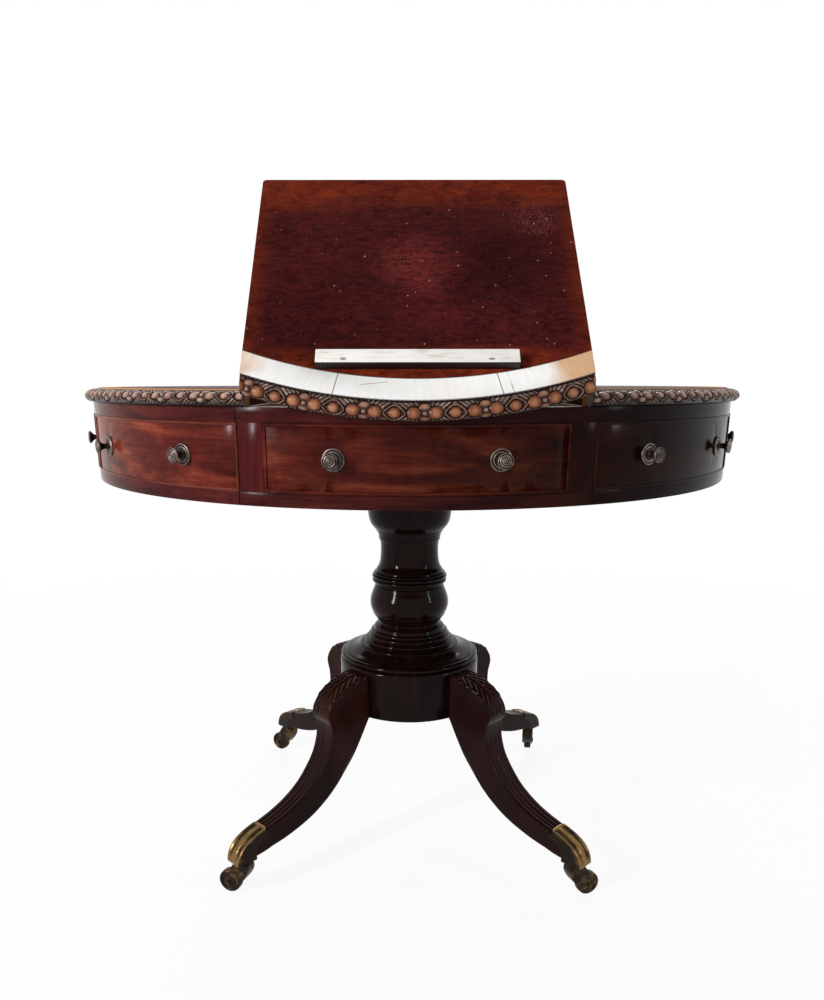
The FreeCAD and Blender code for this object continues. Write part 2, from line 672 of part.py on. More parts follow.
moving_hinges = []
fixed_hinges = []
for side, sign in (("left", -1), ("right", 1)):
    middle = f"({sign} * hinge_offset)"
    bore = bar_along_x(f"pin_bore_{side}", "hinge_pin_radius + pin_clearance", "hinge_length", AXIS_Y,
                       AXIS_Z, middle)
    moving = fuse(f"moving_blank_{side}", [
        knuckle(f"moving_knuckle_{side}", middle, f"({KNUCKLE_HALF} - running_gap)"),
        box(f"moving_web_{side}", f"{middle} - {KNUCKLE_HALF} + running_gap", AXIS_Y, AXIS_Z,
            f"2 * ({KNUCKLE_HALF} - running_gap)", "hinge_knuckle_radius", f"{LEAF_TOP} - {AXIS_Z}"),
        hinge_leaf(f"moving_leaf_{side}", middle, "hinge_length / 2", LEAF_LOW)])
    moving_hinges.append(cut(f"moving_hinge_{side}", moving, bore))
    fixed_low = f"({AXIS_Z} - hinge_knuckle_radius)"
    end_knuckles = [knuckle(f"{end}_knuckle_{side}", f"({middle} + {step} * 2 * {KNUCKLE_HALF})",
                            KNUCKLE_HALF)
                    for end, step in (("outer", -1), ("inner", 1))]
    plate = cut(f"fixed_plate_{side}",
                hinge_leaf(f"fixed_leaf_{side}", middle, "hinge_length / 2", fixed_low),
                bar_along_x(f"plate_relief_{side}", "hinge_knuckle_radius + running_gap",
                            f"({KNUCKLE_HALF} + running_gap)", AXIS_Y, AXIS_Z, middle))
    fixed = fuse(f"fixed_blank_{side}", end_knuckles + [plate])
    fixed_hinges.append(cut(f"fixed_hinge_{side}", fixed, bore))
hinge_pins = group("slope_hinge_pins", [
    bar_along_x(f"hinge_pin_{side}", "hinge_pin_radius", "hinge_length / 2", AXIS_Y, AXIS_Z,
                f"({sign} * hinge_offset)")
    for side, sign in (("left", -1), ("right", 1))])
moving_leaves = group("moving_leaves", moving_hinges)
fixed_leaves = group("slope_hinge_plates", fixed_hinges)

# Book rest, drawn level with the top and then lifted
rest_low = "(table_height - book_rest_thickness)"
rest_bar = box("rest_bar", "-book_rest_length / 2", f"{AXIS_Y} + book_rest_distance", rest_low,
               "book_rest_length", "book_rest_width", "book_rest_thickness")
rest_pins = group("rest_pins", [
    rest_peg(f"rest_pin_{side}", sign, "rest_peg_radius", f"{rest_low} - rest_peg_length",
             "rest_peg_length")
    for side, sign in (("left", -1), ("right", 1))])

# Strut, drawn folded under the closed slope
STRUT_LOW = f"({AXIS_Z} - strut_thickness / 2)"
BAR_MIDDLE = "(strut_width / 2 - strut_bar_width / 2)"
strut_parts = []
for side, sign in (("left", -1), ("right", 1)):
    middle = f"({sign} * {BAR_MIDDLE})"
    strut_parts += [
        box(f"strut_bar_{side}", f"{middle} - strut_bar_width / 2", STRUT_Y, STRUT_LOW,
            "strut_bar_width", "strut_reach", "strut_thickness"),
        bar_along_x(f"strut_foot_{side}", "(strut_thickness / 2)", "(strut_bar_width / 2)",
                    f"{STRUT_Y} + strut_reach", AXIS_Z, middle)]
strut_parts += [
    bar_along_x("strut_head", "(strut_thickness / 2)", "(strut_width / 2)", STRUT_Y, AXIS_Z),
    box("strut_head_rail", "-strut_width / 2", STRUT_Y, STRUT_LOW,
        "strut_width", "strut_bar_width", "strut_thickness"),
    box("strut_cross_rail", "-strut_width / 2", f"{STRUT_Y} + strut_reach - 3 * strut_bar_width", STRUT_LOW,
        "strut_width", "strut_bar_width", "strut_thickness")]
strut_bore = bar_along_x("strut_bore", "strut_pin_radius + pin_clearance", "strut_width", STRUT_Y, AXIS_Z)
strut_flat = cut("strut_flat", fuse("strut_blank", strut_parts), strut_bore)
bracket_parts = []
for side, sign in (("left", -1), ("right", 1)):
    middle = f"({sign} * (strut_width / 2 + strut_bracket_width / 2 + running_gap))"
    lug = fuse(f"bracket_lug_{side}", [
        bar_along_x(f"bracket_eye_{side}", "(strut_thickness / 2)", "(strut_bracket_width / 2)",
                    STRUT_Y, AXIS_Z, middle),
        box(f"bracket_foot_{side}", f"{middle} - strut_bracket_width / 2",
            f"{STRUT_Y} - strut_bracket_width / 2", AXIS_Z,
            "strut_bracket_width", "strut_bracket_width",
            f"{SLOPE_LOW} + hinge_leaf_thickness - {AXIS_Z}")])
    bracket_parts.append(lug)
strut_brackets_flat = fuse("strut_bracket_pair", bracket_parts + [
    bar_along_x("strut_pin", "strut_pin_radius", "(strut_width / 2 + running_gap)", STRUT_Y, AXIS_Z)])
doc.recompute()

axis_y, axis_z = size(AXIS_Y), size(AXIS_Z)
raised = turned_about_x(size("slope_tilt"), axis_y, axis_z)
unfolded = turned_about_x(-2 * size("slope_tilt"), size(STRUT_Y), axis_z)
lifted = Placement(Vector(0, 0, size("book_rest_proud")), Rotation())
slope = {
    "slope_board": copied("slope_board", slope_flat, raised),
    "slope_lip": copied("slope_lip", lip_flat, raised),
    "slope_hinge_leaves": copied("slope_hinge_leaves", moving_leaves, raised),
    "strut_brackets": copied("strut_brackets", strut_brackets_flat, raised),
    "book_rest": copied("book_rest", rest_bar, raised.multiply(lifted)),
    "book_rest_pegs": copied("book_rest_pegs", rest_pins, raised.multiply(lifted)),
    "slope_strut": copied("slope_strut", strut_flat, raised.multiply(unfolded)),
}

# Toothed racks on the dust board that the strut's feet pass over
RACK_FRONT = f"({AXIS_Y} + 2 * strut_reach * cos(slope_tilt) - rack_length / 2)"


def rack_outline():
    teeth = int(round(size("rack_length / rack_tooth_pitch")))
    low, top = size(DUST_TOP), size(f"{DUST_TOP} + rack_height")
    root = size(f"{DUST_TOP} + rack_height - rack_tooth_depth")
    start, pitch = size(RACK_FRONT), size("rack_tooth_pitch")
    points = [Vector(0, start, low), Vector(0, start, root)]
    for tooth in range(teeth):
        points.append(Vector(0, start + pitch * tooth, root))
        points.append(Vector(0, start + pitch * (tooth + 1), top))
        points.append(Vector(0, start + pitch * (tooth + 1), root))
    points = points[:1] + points[2:]
    points.append(Vector(0, start + pitch * teeth, low))
    return Part.Face(Part.makePolygon(points + points[:1]))


rack_width = size("rack_width")
rack_blade = rack_outline().extrude(Vector(rack_width, 0, 0))
rack_middle = size(BAR_MIDDLE)
strut_racks = shaped("strut_racks", Part.Compound([
    rack_blade.translated(Vector(sign * rack_middle - rack_width / 2, 0, 0)) for sign in (-1, 1)]))

# Bearing that the drum turns on
SPINDLE_LOW = f"({COLUMN_TOP} - spindle_depth)"
thrust_washer = ring("thrust_washer", "spindle_radius", "washer_radius", COLUMN_TOP, "washer_thickness")
NUT_LOW = f"({FLOOR_TOP} + running_gap)"
spindle_nut = ring("spindle_nut", "spindle_radius", "nut_radius", NUT_LOW, "nut_height")
SPINDLE_END = f"({NUT_LOW} + nut_height + spindle_radius / 4)"
spindle = cylinder("spindle", "spindle_radius", SPINDLE_LOW, f"{SPINDLE_END} - {SPINDLE_LOW}")

# Turned column: shares of its radius and of its height, from the foot up.
# Four numbers are a point on an arc and the end of that arc.
COLUMN_FOOT_SHARES = [
    (0.9724, 0.0),
    (0.99, 0.014, 0.9372, 0.03),
    (0.8435, 0.034, 0.7146, 0.05),
]
COLUMN_SHAFT_SHARES = [
    (1.22, 0.062),
    (1.13, 0.068, 1.03, 0.084),
    (1.03, 0.112, 0.955, 0.12),
    (0.955, 0.124),
    (1.0, 0.145, 0.935, 0.165),
    (0.86, 0.19, 0.75, 0.2),
    (0.75, 0.214),
    (0.79, 0.232),
    (0.965, 0.335, 0.855, 0.42),
    (0.82, 0.43),
    (0.82, 0.44),
    (0.89, 0.448),
    (0.935, 0.468, 0.89, 0.488),
    (0.855, 0.49),
    (0.885, 0.505, 0.855, 0.52),
    (0.73, 0.55, 0.7, 0.61),
    (0.68, 0.66, 0.7, 0.71),
    (0.735, 0.735),
    (0.78, 0.745),
    (0.8, 0.757),
    (0.96, 0.79, 1.0, 0.86),
    (1.0, 0.93, 0.94, 1.0),
]


def turned_points(shares_table, radius):
    """Points of an outline at shares of a radius and of the height between the hub and the drum."""
    height = f"({COLUMN_TOP} - {HUB_TOP})"
    points = []
    for shares in shares_table:
        entry = []
        for radius_share, height_share in zip(shares[::2], shares[1::2]):
            entry += [f"{radius} * {radius_share}", f"{HUB_TOP} + {height} * {height_share}"]
        points.append(tuple(entry))
    return points


def column_outline():
    bore = [("spindle_radius", SPINDLE_LOW), ("0", SPINDLE_LOW), ("0", f"{HUB_TOP} - column_tenon_length"),
            ("column_tenon_radius", f"{HUB_TOP} - column_tenon_length"), ("column_tenon_radius", HUB_TOP)]
    foot = turned_points(COLUMN_FOOT_SHARES, "hub_radius")
    shaft = turned_points(COLUMN_SHAFT_SHARES, "column_radius")
    return bore + foot + shaft + [("spindle_radius", COLUMN_TOP)]


column = turned_body("column", column_outline())

hub_blank = turned_body("hub_blank", [
    ("column_tenon_radius", "hub_bottom"),
    ("column_tenon_radius", HUB_TOP),
    ("hub_radius - hub_edge_round", HUB_TOP),
    ("hub_radius - hub_edge_round * 0.3", f"{HUB_TOP} - hub_edge_round * 0.3",
     "hub_radius", f"{HUB_TOP} - hub_edge_round"),
    ("hub_radius", "hub_bottom"),
])
HOUSING_INNER = "(hub_radius - hub_housing_depth)"
housing_along_x = box("housing_along_x", HOUSING_INNER, "-leg_root_width / 2", "hub_bottom - cut_overrun",
                      "hub_radius", "leg_root_width", "leg_rise - hub_bottom + cut_overrun")
doc.recompute()
BASE_TURN = size("base_turn_angle")
LEGS = {"front_left": 225, "front_right": 315, "rear_left": 135, "rear_right": 45}
leg_turns = {name: turned_about_z(angle + BASE_TURN) for name, angle in LEGS.items()}
leg_housings = shaped("leg_housings", Part.Compound([
    copied(f"{name}_housing", housing_along_x, turn).Shape for name, turn in leg_turns.items()]))

# Iron strap under the hub with its screws
strap_arms = fuse("strap_arms", [
    box("strap_along_x", f"-{STRAP_REACH}", "-strap_width / 2", "hub_bottom - strap_thickness",
        f"2 * {STRAP_REACH}", "strap_width", "strap_thickness"),
    box("strap_along_y", "-strap_width / 2", f"-{STRAP_REACH}", "hub_bottom - strap_thickness",
        "strap_width", f"2 * {STRAP_REACH}", "strap_thickness")])


def strap_screw(label, distance, radius, low, height):
    screw = cylinder(label, radius, low, height)
    bind(screw, Placement__Base__x=distance)
    return screw


HUB_SCREW = "(hub_radius / 2)"
LEG_SCREW = f"({HOUSING_INNER} + screw_radius * 4)"
screw_parts = []
for place, distance in (("hub", HUB_SCREW), ("leg", LEG_SCREW)):
    screw_parts.append(fuse(f"{place}_screw", [
        strap_screw(f"{place}_screw_shank", distance, "screw_radius", "hub_bottom - strap_thickness",
                    "screw_length"),
        strap_screw(f"{place}_screw_head", distance, "screw_radius * 2",
                    "hub_bottom - strap_thickness - screw_radius", "screw_radius")]))
screw_arm = group("screw_arm", screw_parts)
doc.recompute()
diagonal = LEGS["rear_right"] + BASE_TURN
screws_flat = four_turns("screws_flat", screw_arm, diagonal)
hub_strap = cut("hub_strap", copied("strap_turned", strap_arms, turned_about_z(diagonal)), screws_flat)
strap_screws = copied("strap_screws", screws_flat, Placement())
hub = cut("hub", hub_blank, fuse("hub_cutters", [leg_housings, screws_flat]))

# Sabre leg and toe cap: shares of the reach outside the hub and of the rise of the knee
KNEE_SHARES = [(0.1258, 0.977), (0.2016, 0.954), (0.2701, 0.915), (0.3072, 0.872), (0.3152, 0.833),
               (0.2985, 0.79)]
SHIN_SHARES = [(0.289, 0.7), (0.3036, 0.646), (0.3283, 0.6), (0.3852, 0.532), (0.4667, 0.46),
               (0.5702, 0.405), (0.7013, 0.36), (0.7858, 0.342)]
CAP_INNER_SHARES = [(0.7713, 0.3), (0.8208, 0.285), (0.8543, 0.259), (0.8703, 0.216)]
CALF_SHARES = [(0.7669, 0.228), (0.6401, 0.252), (0.4915, 0.295), (0.375, 0.349), (0.2773, 0.413),
               (0.195, 0.485), (0.12, 0.557), (0.061, 0.64), (0.0136, 0.715), (-0.0097, 0.751)]
TOE_SHARES = [(0.8426, 0.333), (0.8922, 0.318), (0.9388, 0.297), (0.9738, 0.269), (0.9927, 0.236)]


def at_shares(shares):
    near, far, rise = size("hub_radius"), size("leg_reach"), size("leg_rise")
    return [(near + (far - near) * reach_share, rise * rise_share) for reach_share, rise_share in shares]


def leg_profile():
    inner, hub_face = size(HOUSING_INNER), size("hub_radius")
    bottom, top = size("hub_bottom"), size("leg_rise")
    collar, *socket = at_shares(CAP_INNER_SHARES)
    return outline_face([
        (inner, bottom), (inner, top), (hub_face, top),
        at_shares(KNEE_SHARES), at_shares(SHIN_SHARES),
        collar, socket, at_shares(CALF_SHARES)])


def cap_profile():
    low = size("cap_bottom")
    start = at_shares(SHIN_SHARES)[-1]
    collar, *socket = at_shares(CAP_INNER_SHARES)
    heel = socket[-1]
    return outline_face([
        start, at_shares(TOE_SHARES), (size("leg_reach"), low), (heel[0], low), heel,
        list(reversed([collar] + socket[:-1]))])


def tapered(profile, extra):
    """Extrude a side profile to the width of a leg, which narrows towards the toe."""
    near, far = size("hub_radius"), size("leg_reach")
    root, toe = size("leg_root_width") / 2 + extra, size("leg_toe_width") / 2 + extra
    tip = far + size("cut_overrun")
    slab = profile.extrude(Vector(0, 4 * root, 0)).translated(Vector(0, -2 * root, 0))
    plan = Part.Face(Part.makePolygon([
        Vector(0, -root, 0), Vector(near, -root, 0), Vector(tip, -toe, 0), Vector(tip, toe, 0),
        Vector(near, root, 0), Vector(0, root, 0), Vector(0, -root, 0)]))
    return slab.common(plan.extrude(Vector(0, 0, size("table_height"))))


leg_master = cut("leg_master", shaped("leg_blank", tapered(leg_profile(), 0)),
                 strap_screw("leg_screw_hole", LEG_SCREW, "screw_radius", "hub_bottom - strap_thickness",
                             "screw_length"))
swivel_hole = strap_screw("swivel_hole", CASTER_DISTANCE, "swivel_pin_radius + pin_clearance",
                          "cap_bottom - cut_overrun",
                          "swivel_pin_length + cut_overrun + swivel_pin_radius / 4")
cap_master = cut("cap_master", shaped("cap_blank", tapered(cap_profile(), size("cap_overlap"))),
                 swivel_hole)

# Caster: swivel fork, axle and wheel, drawn with the pin on the Z axis and trailing towards +X
FORK_TOP = "(cap_bottom - running_gap)"
SLOT_HALF = "(wheel_width / 2 + wheel_gap)"
CHEEK_OUTER = f"({SLOT_HALF} + cheek_thickness)"
HORN_SHARES = [(-0.55, 0.78), (-0.4, 0.55), (0.1, 0.2), (0.75, 0.0)]


def across_y(label, radius, half_length, x, z):
    """Part::Cylinder along Y."""
    item = doc.addObject("Part::Cylinder", label)
    item.Placement = Placement(Vector(), Rotation(X_AXIS, -90))
    bind(item, Radius=radius, Height=f"2 * {half_length}", Placement__Base__x=x,
         Placement__Base__y=f"-{half_length}", Placement__Base__z=z)
    return item


def horn_profile():
    """Side of the horn: from the swivel plate down behind the wheel to the axle and back over it."""
    trail, top = size("caster_trail"), size(f"{FORK_TOP} - swivel_plate_thickness")
    plate, axle_height = size("swivel_plate_radius"), size("wheel_radius")
    eye = size("axle_radius") * 2
    back = [(trail * x_share, axle_height - eye + (top - axle_height + eye) * z_share)
            for x_share, z_share in HORN_SHARES]
    tip = Part.Arc(Vector(trail, 0, axle_height - eye), Vector(trail + eye, 0, axle_height),
                   Vector(trail, 0, axle_height + eye)).toShape()
    curve = Part.BSplineCurve()
    places = [Vector(x, 0, z) for x, z in [(-plate, top)] + back + [(trail, axle_height - eye)]]
    curve.interpolate(places)
    over = Part.BSplineCurve()
    over_places = [Vector(trail, 0, axle_height + eye),
                   Vector(trail * 0.85, 0, (axle_height + eye + top) / 2), Vector(plate, 0, top)]
    over.interpolate(over_places)
    return Part.Face(Part.Wire([curve.toShape(), tip, over.toShape(),
                                Part.makeLine(over_places[-1], places[0])]))


cheek_outer = size(CHEEK_OUTER)
horn_slab = horn_profile().extrude(Vector(0, 2 * cheek_outer, 0))
horn = shaped("horn", horn_slab.translated(Vector(0, -cheek_outer, 0)))
fork_blank = fuse("fork_blank", [
    horn,
    cylinder("swivel_plate", "swivel_plate_radius", f"{FORK_TOP} - swivel_plate_thickness",
             "swivel_plate_thickness"),
    cylinder("swivel_pin", "swivel_pin_radius", f"{FORK_TOP} - swivel_plate_thickness",
             "swivel_plate_thickness + swivel_pin_length")])
wheel_slot = across_y("wheel_slot", "wheel_radius + wheel_gap * 1.5", SLOT_HALF, "caster_trail",
                      "wheel_radius")
axle_hole = across_y("axle_hole", "axle_radius", f"({CHEEK_OUTER} + cut_overrun)", "caster_trail",
                     "wheel_radius")
horned_fork = cut("horned_fork", fork_blank, fuse("fork_cutters", [wheel_slot, axle_hole]))
axle_heads = cut("axle_heads", across_y("axle_head_pair", "(axle_radius + axle_head)",
                                        f"({CHEEK_OUTER} + axle_head)",
                                        "caster_trail", "wheel_radius"),
                 across_y("axle_head_space", "wheel_radius", CHEEK_OUTER, "caster_trail", "wheel_radius"))
axle = fuse("axle", [
    axle_heads, across_y("axle_shank", "axle_radius", f"({CHEEK_OUTER} + axle_head)", "caster_trail",
                         "wheel_radius")])
fork_master = group("fork_master", [horned_fork, axle])
wheel_blank = turned_body("wheel_blank", [
    ("axle_radius + pin_clearance", "-wheel_width / 2"),
    ("axle_radius + pin_clearance", "wheel_width / 2"),
    ("wheel_radius - wheel_edge_round", "wheel_width / 2"),
    ("wheel_radius - wheel_edge_round * 0.3", "wheel_width / 2 - wheel_edge_round * 0.3",
     "wheel_radius", "wheel_width / 2 - wheel_edge_round"),
    ("wheel_radius", "wheel_edge_round - wheel_width / 2"),
    ("wheel_radius - wheel_edge_round * 0.3", "wheel_edge_round * 0.3 - wheel_width / 2",
     "wheel_radius - wheel_edge_round", "-wheel_width / 2"),
])
doc.recompute()

# Heading of each trailing wheel, counted from +X
CASTER_HEADINGS = {"front_left": 158, "front_right": 22, "rear_left": 148, "rear_right": 78}
upright = Placement(Vector(size("caster_trail"), 0, size("wheel_radius")), Rotation(X_AXIS, 90))
base_pieces = {}
for name, turn in leg_turns.items():
    base_pieces[f"{name}_leg"] = copied(f"{name}_leg", leg_master, turn)
    base_pieces[f"{name}_toe_cap"] = copied(f"{name}_toe_cap", cap_master, turn)
    pin = turn.multVec(Vector(size(CASTER_DISTANCE), 0, 0))
    swivel = Placement(pin, Rotation(Z_AXIS, CASTER_HEADINGS[name]))
    base_pieces[f"{name}_fork"] = copied(f"{name}_fork", fork_master, swivel)
    base_pieces[f"{name}_wheel"] = copied(f"{name}_wheel", wheel_blank, swivel.multiply(upright))

# Every node of the table by the name of its file
nodes = {
    "column": column,
    "hub": hub,
    "hub_strap": hub_strap,
    "strap_screws": strap_screws,
    "thrust_washer": thrust_washer,
    "spindle": spindle,
    "spindle_nut": spindle_nut,
    "bearing_block": bearing_block,
    "bottom_board": bottom_board,
    "lower_rail": lower_rail,
    "frieze_stiles": stiles,
    "upper_rail": upper_rail,
    "fixed_fronts": fixed_fronts,
    "fixed_front_beads": fixed_beads,
    "fixed_front_knobs": fixed_knobs,
    "drawer_partitions": drawer_partitions,
    "drawer_runners": drawer_runners,
    "dust_board": dust_board,
    "top_bearers": top_bearers,
    "table_top": table_top,
    "carved_rim": carved_rim,
    "slope_hinge_plates": fixed_leaves,
    "slope_hinge_pins": hinge_pins,
    "strut_racks": strut_racks,
    **slope,
    **drawers,
    **base_pieces,
}
doc.recompute()

for item in doc.Objects:
    if "Invalid" in item.State or "Error" in item.State:
        raise RuntimeError(f"{item.Label} failed: {item.State}")
os.makedirs("parts", exist_ok=True)
for node, item in nodes.items():
    shape = item.Shape
    if shape.isNull() or not shape.isValid():
        raise RuntimeError(f"{node} has no valid shape")
    shape.exportStep(f"parts/{node}.step")
print(len(nodes), "nodes written")
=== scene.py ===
"""Drum table with a lifted reading slope, a turned column and four sabre legs on casters."""
import math

import bmesh
import bpy
import numpy as np
from mathutils import Matrix, Vector


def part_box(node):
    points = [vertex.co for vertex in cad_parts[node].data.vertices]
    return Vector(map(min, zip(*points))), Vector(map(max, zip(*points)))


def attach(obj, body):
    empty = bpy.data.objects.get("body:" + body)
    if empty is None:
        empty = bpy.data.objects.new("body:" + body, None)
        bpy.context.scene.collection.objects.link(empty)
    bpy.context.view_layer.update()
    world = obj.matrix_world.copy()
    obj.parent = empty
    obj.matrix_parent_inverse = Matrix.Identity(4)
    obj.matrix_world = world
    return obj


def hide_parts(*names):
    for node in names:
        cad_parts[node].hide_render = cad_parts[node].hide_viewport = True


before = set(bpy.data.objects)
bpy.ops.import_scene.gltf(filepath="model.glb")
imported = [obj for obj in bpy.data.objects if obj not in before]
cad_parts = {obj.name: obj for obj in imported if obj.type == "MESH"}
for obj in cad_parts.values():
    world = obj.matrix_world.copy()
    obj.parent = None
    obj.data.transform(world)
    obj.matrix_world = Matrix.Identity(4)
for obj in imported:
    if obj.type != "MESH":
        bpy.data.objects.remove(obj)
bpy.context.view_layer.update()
MM = 0.001

# Hub: a turned block of dense mahogany that the four legs are housed into.
# It is stained nearly black and French polished.
HUB_OUTLINE = [
    [(0, 229.3), (116.5, 229.3)],
    [(118.7, 230.2), (119.5, 232.3)],
    [(119.5, 305.6)],
    [(118.9, 308.4), (117.2, 310.7), (114.6, 312.0), (111.8, 312.4)],
    [(0, 312.4)],
]
STEPS_ROUND_BASE = 120
SAME_POINT = 1e-6


def flowing(points, each=6):
    """Smooth run of points through a few given ones."""
    places = [Vector(point) for point in points]
    if len(places) < 3:
        return places
    ends = [2 * places[0] - places[1]] + places + [2 * places[-1] - places[-2]]
    run = []
    for before, start, end, after in zip(ends, ends[1:], ends[2:], ends[3:]):
        for step in range(each):
            t = step / each
            run.append(0.5 * (2 * start + (end - before) * t
                              + (2 * before - 5 * start + 4 * end - after) * t * t
                              + (3 * start - before - 3 * end + after) * t ** 3))
    return run + [places[-1]]


def joined_outline(runs, each=6):
    """Outline of smooth runs that meet at corners. Each run starts where the one before it ends."""
    outline = []
    for run in runs:
        for place in flowing(outline[-1:] + run, each):
            if not outline or (place - outline[-1]).length > SAME_POINT:
                outline.append(place)
    return outline


def new_piece(name, mesh, material, body, slot, *nodes, crease=32):
    """Shade a mesh, give it its material and set it on the body that carries it."""
    mesh.shade_smooth()
    mesh.set_sharp_from_angle(angle=math.radians(crease))
    mesh.materials.clear()
    mesh.materials.append(material)
    piece = bpy.data.objects.new(name, mesh)
    bpy.context.scene.collection.objects.link(piece)
    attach(piece, body)
    if nodes:
        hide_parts(*nodes)
    return piece


def into_mesh(shape, mesh, place=Matrix.Identity(4)):
    """Turn the faces of a shape outwards, move it to its place and write it into a mesh, or a new one."""
    bmesh.ops.recalc_face_normals(shape, faces=shape.faces)
    shape.transform(place)
    if isinstance(mesh, str):
        mesh = bpy.data.meshes.new(mesh)
    shape.to_mesh(mesh)
    shape.free()
    return mesh


def skin(shape, rings):
    """Lay faces between rings of points. A ring of one point is a tip."""
    for lower, upper in zip(rings, rings[1:]):
        for step in range(max(len(lower), len(upper))):
            after = step + 1
            corners = list(dict.fromkeys([lower[step % len(lower)], lower[after % len(lower)],
                                          upper[after % len(upper)], upper[step % len(upper)]]))
            if len(corners) > 2:
                shape.faces.new(corners)


def turned_mesh(name, outline, steps, place=Matrix.Identity(4)):
    """Mesh turned about Z from points of radius and height in millimetres, then moved to its place."""
    shape = bmesh.new()
    rings = []
    for radius, height in outline:
        angles = [math.tau * step / steps for step in range(steps if radius > SAME_POINT else 1)]
        rings.append([shape.verts.new((radius * MM * math.cos(angle),
                                       radius * MM * math.sin(angle), height * MM))
                      for angle in angles])
    skin(shape, rings + rings[:1] if len(rings[0]) > 1 else rings)
    return into_mesh(shape, name, place)


class Nodes:
    """Short way to lay out the nodes of one tree."""

    def __init__(self, tree):
        self.tree = tree

    def add(self, kind, settings=None, **inputs):
        """New node. Its inputs are given by name, with _ for a space, or by number, as in i0."""
        node = self.tree.nodes.new(kind)
        for name, value in (settings or {}).items():
            setattr(node, name, value)
        for name, value in inputs.items():
            self.feed(node, name.replace("_", " "), value)
        return node

    def feed(self, node, name, value):
        socket = node.inputs[int(name[1:])] if name[0] == "i" and name[1:].isdigit() else node.inputs[name]
        if isinstance(value, bpy.types.NodeSocket):
            self.tree.links.new(value, socket)
        else:
            socket.default_value = value

    def math(self, operation, first, second=0.0):
        return self.add("ShaderNodeMath", {"operation": operation}, i0=first, i1=second).outputs[0]

    def times(self, first, second):
        return self.math("MULTIPLY", first, second)

    def plus(self, first, *others):
        for other in others:
            first = self.math("ADD", first, other)
        return first

    def less(self, first, second):
        return self.math("SUBTRACT", first, second)

    def apart(self, first, second):
        """How far one value is from another."""
        return self.math("ABSOLUTE", self.less(first, second))

    def diagonal(self, first, second):
        """Length of the slanting side over two square sides."""
        return self.math("SQRT", self.plus(self.times(first, first), self.times(second, second)))

    def blend(self, *parts):
        """Sum of values, each times its share."""
        return self.plus(*[self.times(value, share) for value, share in parts])

    def range(self, value, low, high, to_low=0.0, to_high=1.0):
        return self.add("ShaderNodeMapRange", i0=value, i1=low, i2=high, i3=to_low, i4=to_high).outputs[0]

    def seen_plainly(self):
        """1 for a ray from the camera, off a polish or through glass, and 0 for any other."""
        rays = self.add("ShaderNodeLightPath").outputs
        seen = self.math("MAXIMUM", rays["Is Camera Ray"], rays["Is Glossy Ray"])
        return self.math("MAXIMUM", seen, rays["Is Transmission Ray"])


class Finish(Nodes):
    """The nodes of one material."""

    def __init__(self, name):
        self.material = bpy.data.materials.new(name)
        self.material.use_nodes = True
        super().__init__(self.material.node_tree)
        self.shader = self.tree.nodes["Principled BSDF"]

    def place(self):
        return self.add("ShaderNodeTexCoord").outputs["Object"]

    def kept(self, name, output="Vector"):
        """What a mesh keeps for each of its points under a name."""
        return self.add("ShaderNodeAttribute", {"attribute_name": name}).outputs[output]

    def split(self, vector):
        return self.add("ShaderNodeSeparateXYZ", Vector=vector).outputs

    def distance(self, place, spot):
        return self.add("ShaderNodeVectorMath", {"operation": "DISTANCE"}, i0=place, i1=spot).outputs["Value"]

    def scaled(self, vector, scale):
        return self.add("ShaderNodeMapping", Vector=vector, Scale=scale).outputs[0]

    def noise(self, vector, scale, detail=3.0, rough=0.5, distortion=0.0):
        return self.add("ShaderNodeTexNoise", Vector=vector, Scale=scale, Detail=detail, Roughness=rough,
                        Distortion=distortion).outputs["Fac"]

    def ramp(self, value, *stops):
        node = self.add("ShaderNodeValToRGB", Fac=value)
        elements = node.color_ramp.elements
        while len(elements) < len(stops):
            elements.new(0.5)
        for element, (place, color) in zip(elements, stops):
            element.position = place
            element.color = (*color, 1)
        return node.outputs["Color"]

    def mix(self, share, first, second, blend="MIX"):
        first, second = [(*color, 1) if isinstance(color, tuple) else color for color in (first, second)]
        settings = {"data_type": "RGBA", "blend_type": blend}
        return self.add("ShaderNodeMix", settings, i0=share, i6=first, i7=second).outputs[2]

    def dimmed(self, color, share):
        grey = self.add("ShaderNodeCombineColor", Red=share, Green=share, Blue=share).outputs[0]
        return self.mix(1.0, color, grey, "MULTIPLY")

    def bump(self, height, distance, strength=1.0):
        node = self.add("ShaderNodeBump", Height=height, Distance=distance, Strength=strength)
        self.feed(self.shader, "Normal", node.outputs[0])

    def done(self, color, roughness, **fixed):
        self.feed(self.shader, "Base Color", color)
        self.feed(self.shader, "Roughness", roughness)
        for name, value in fixed.items():
            self.feed(self.shader, name.replace("_", " "), value)
        return self.material


WOOD_TONE_SHARES = (0.30, 0.5, 0.72)
ALONG_GRAIN = {"x": (0.08, 1, 1), "y": (1, 0.08, 1), "z": (1, 1, 0.08)}


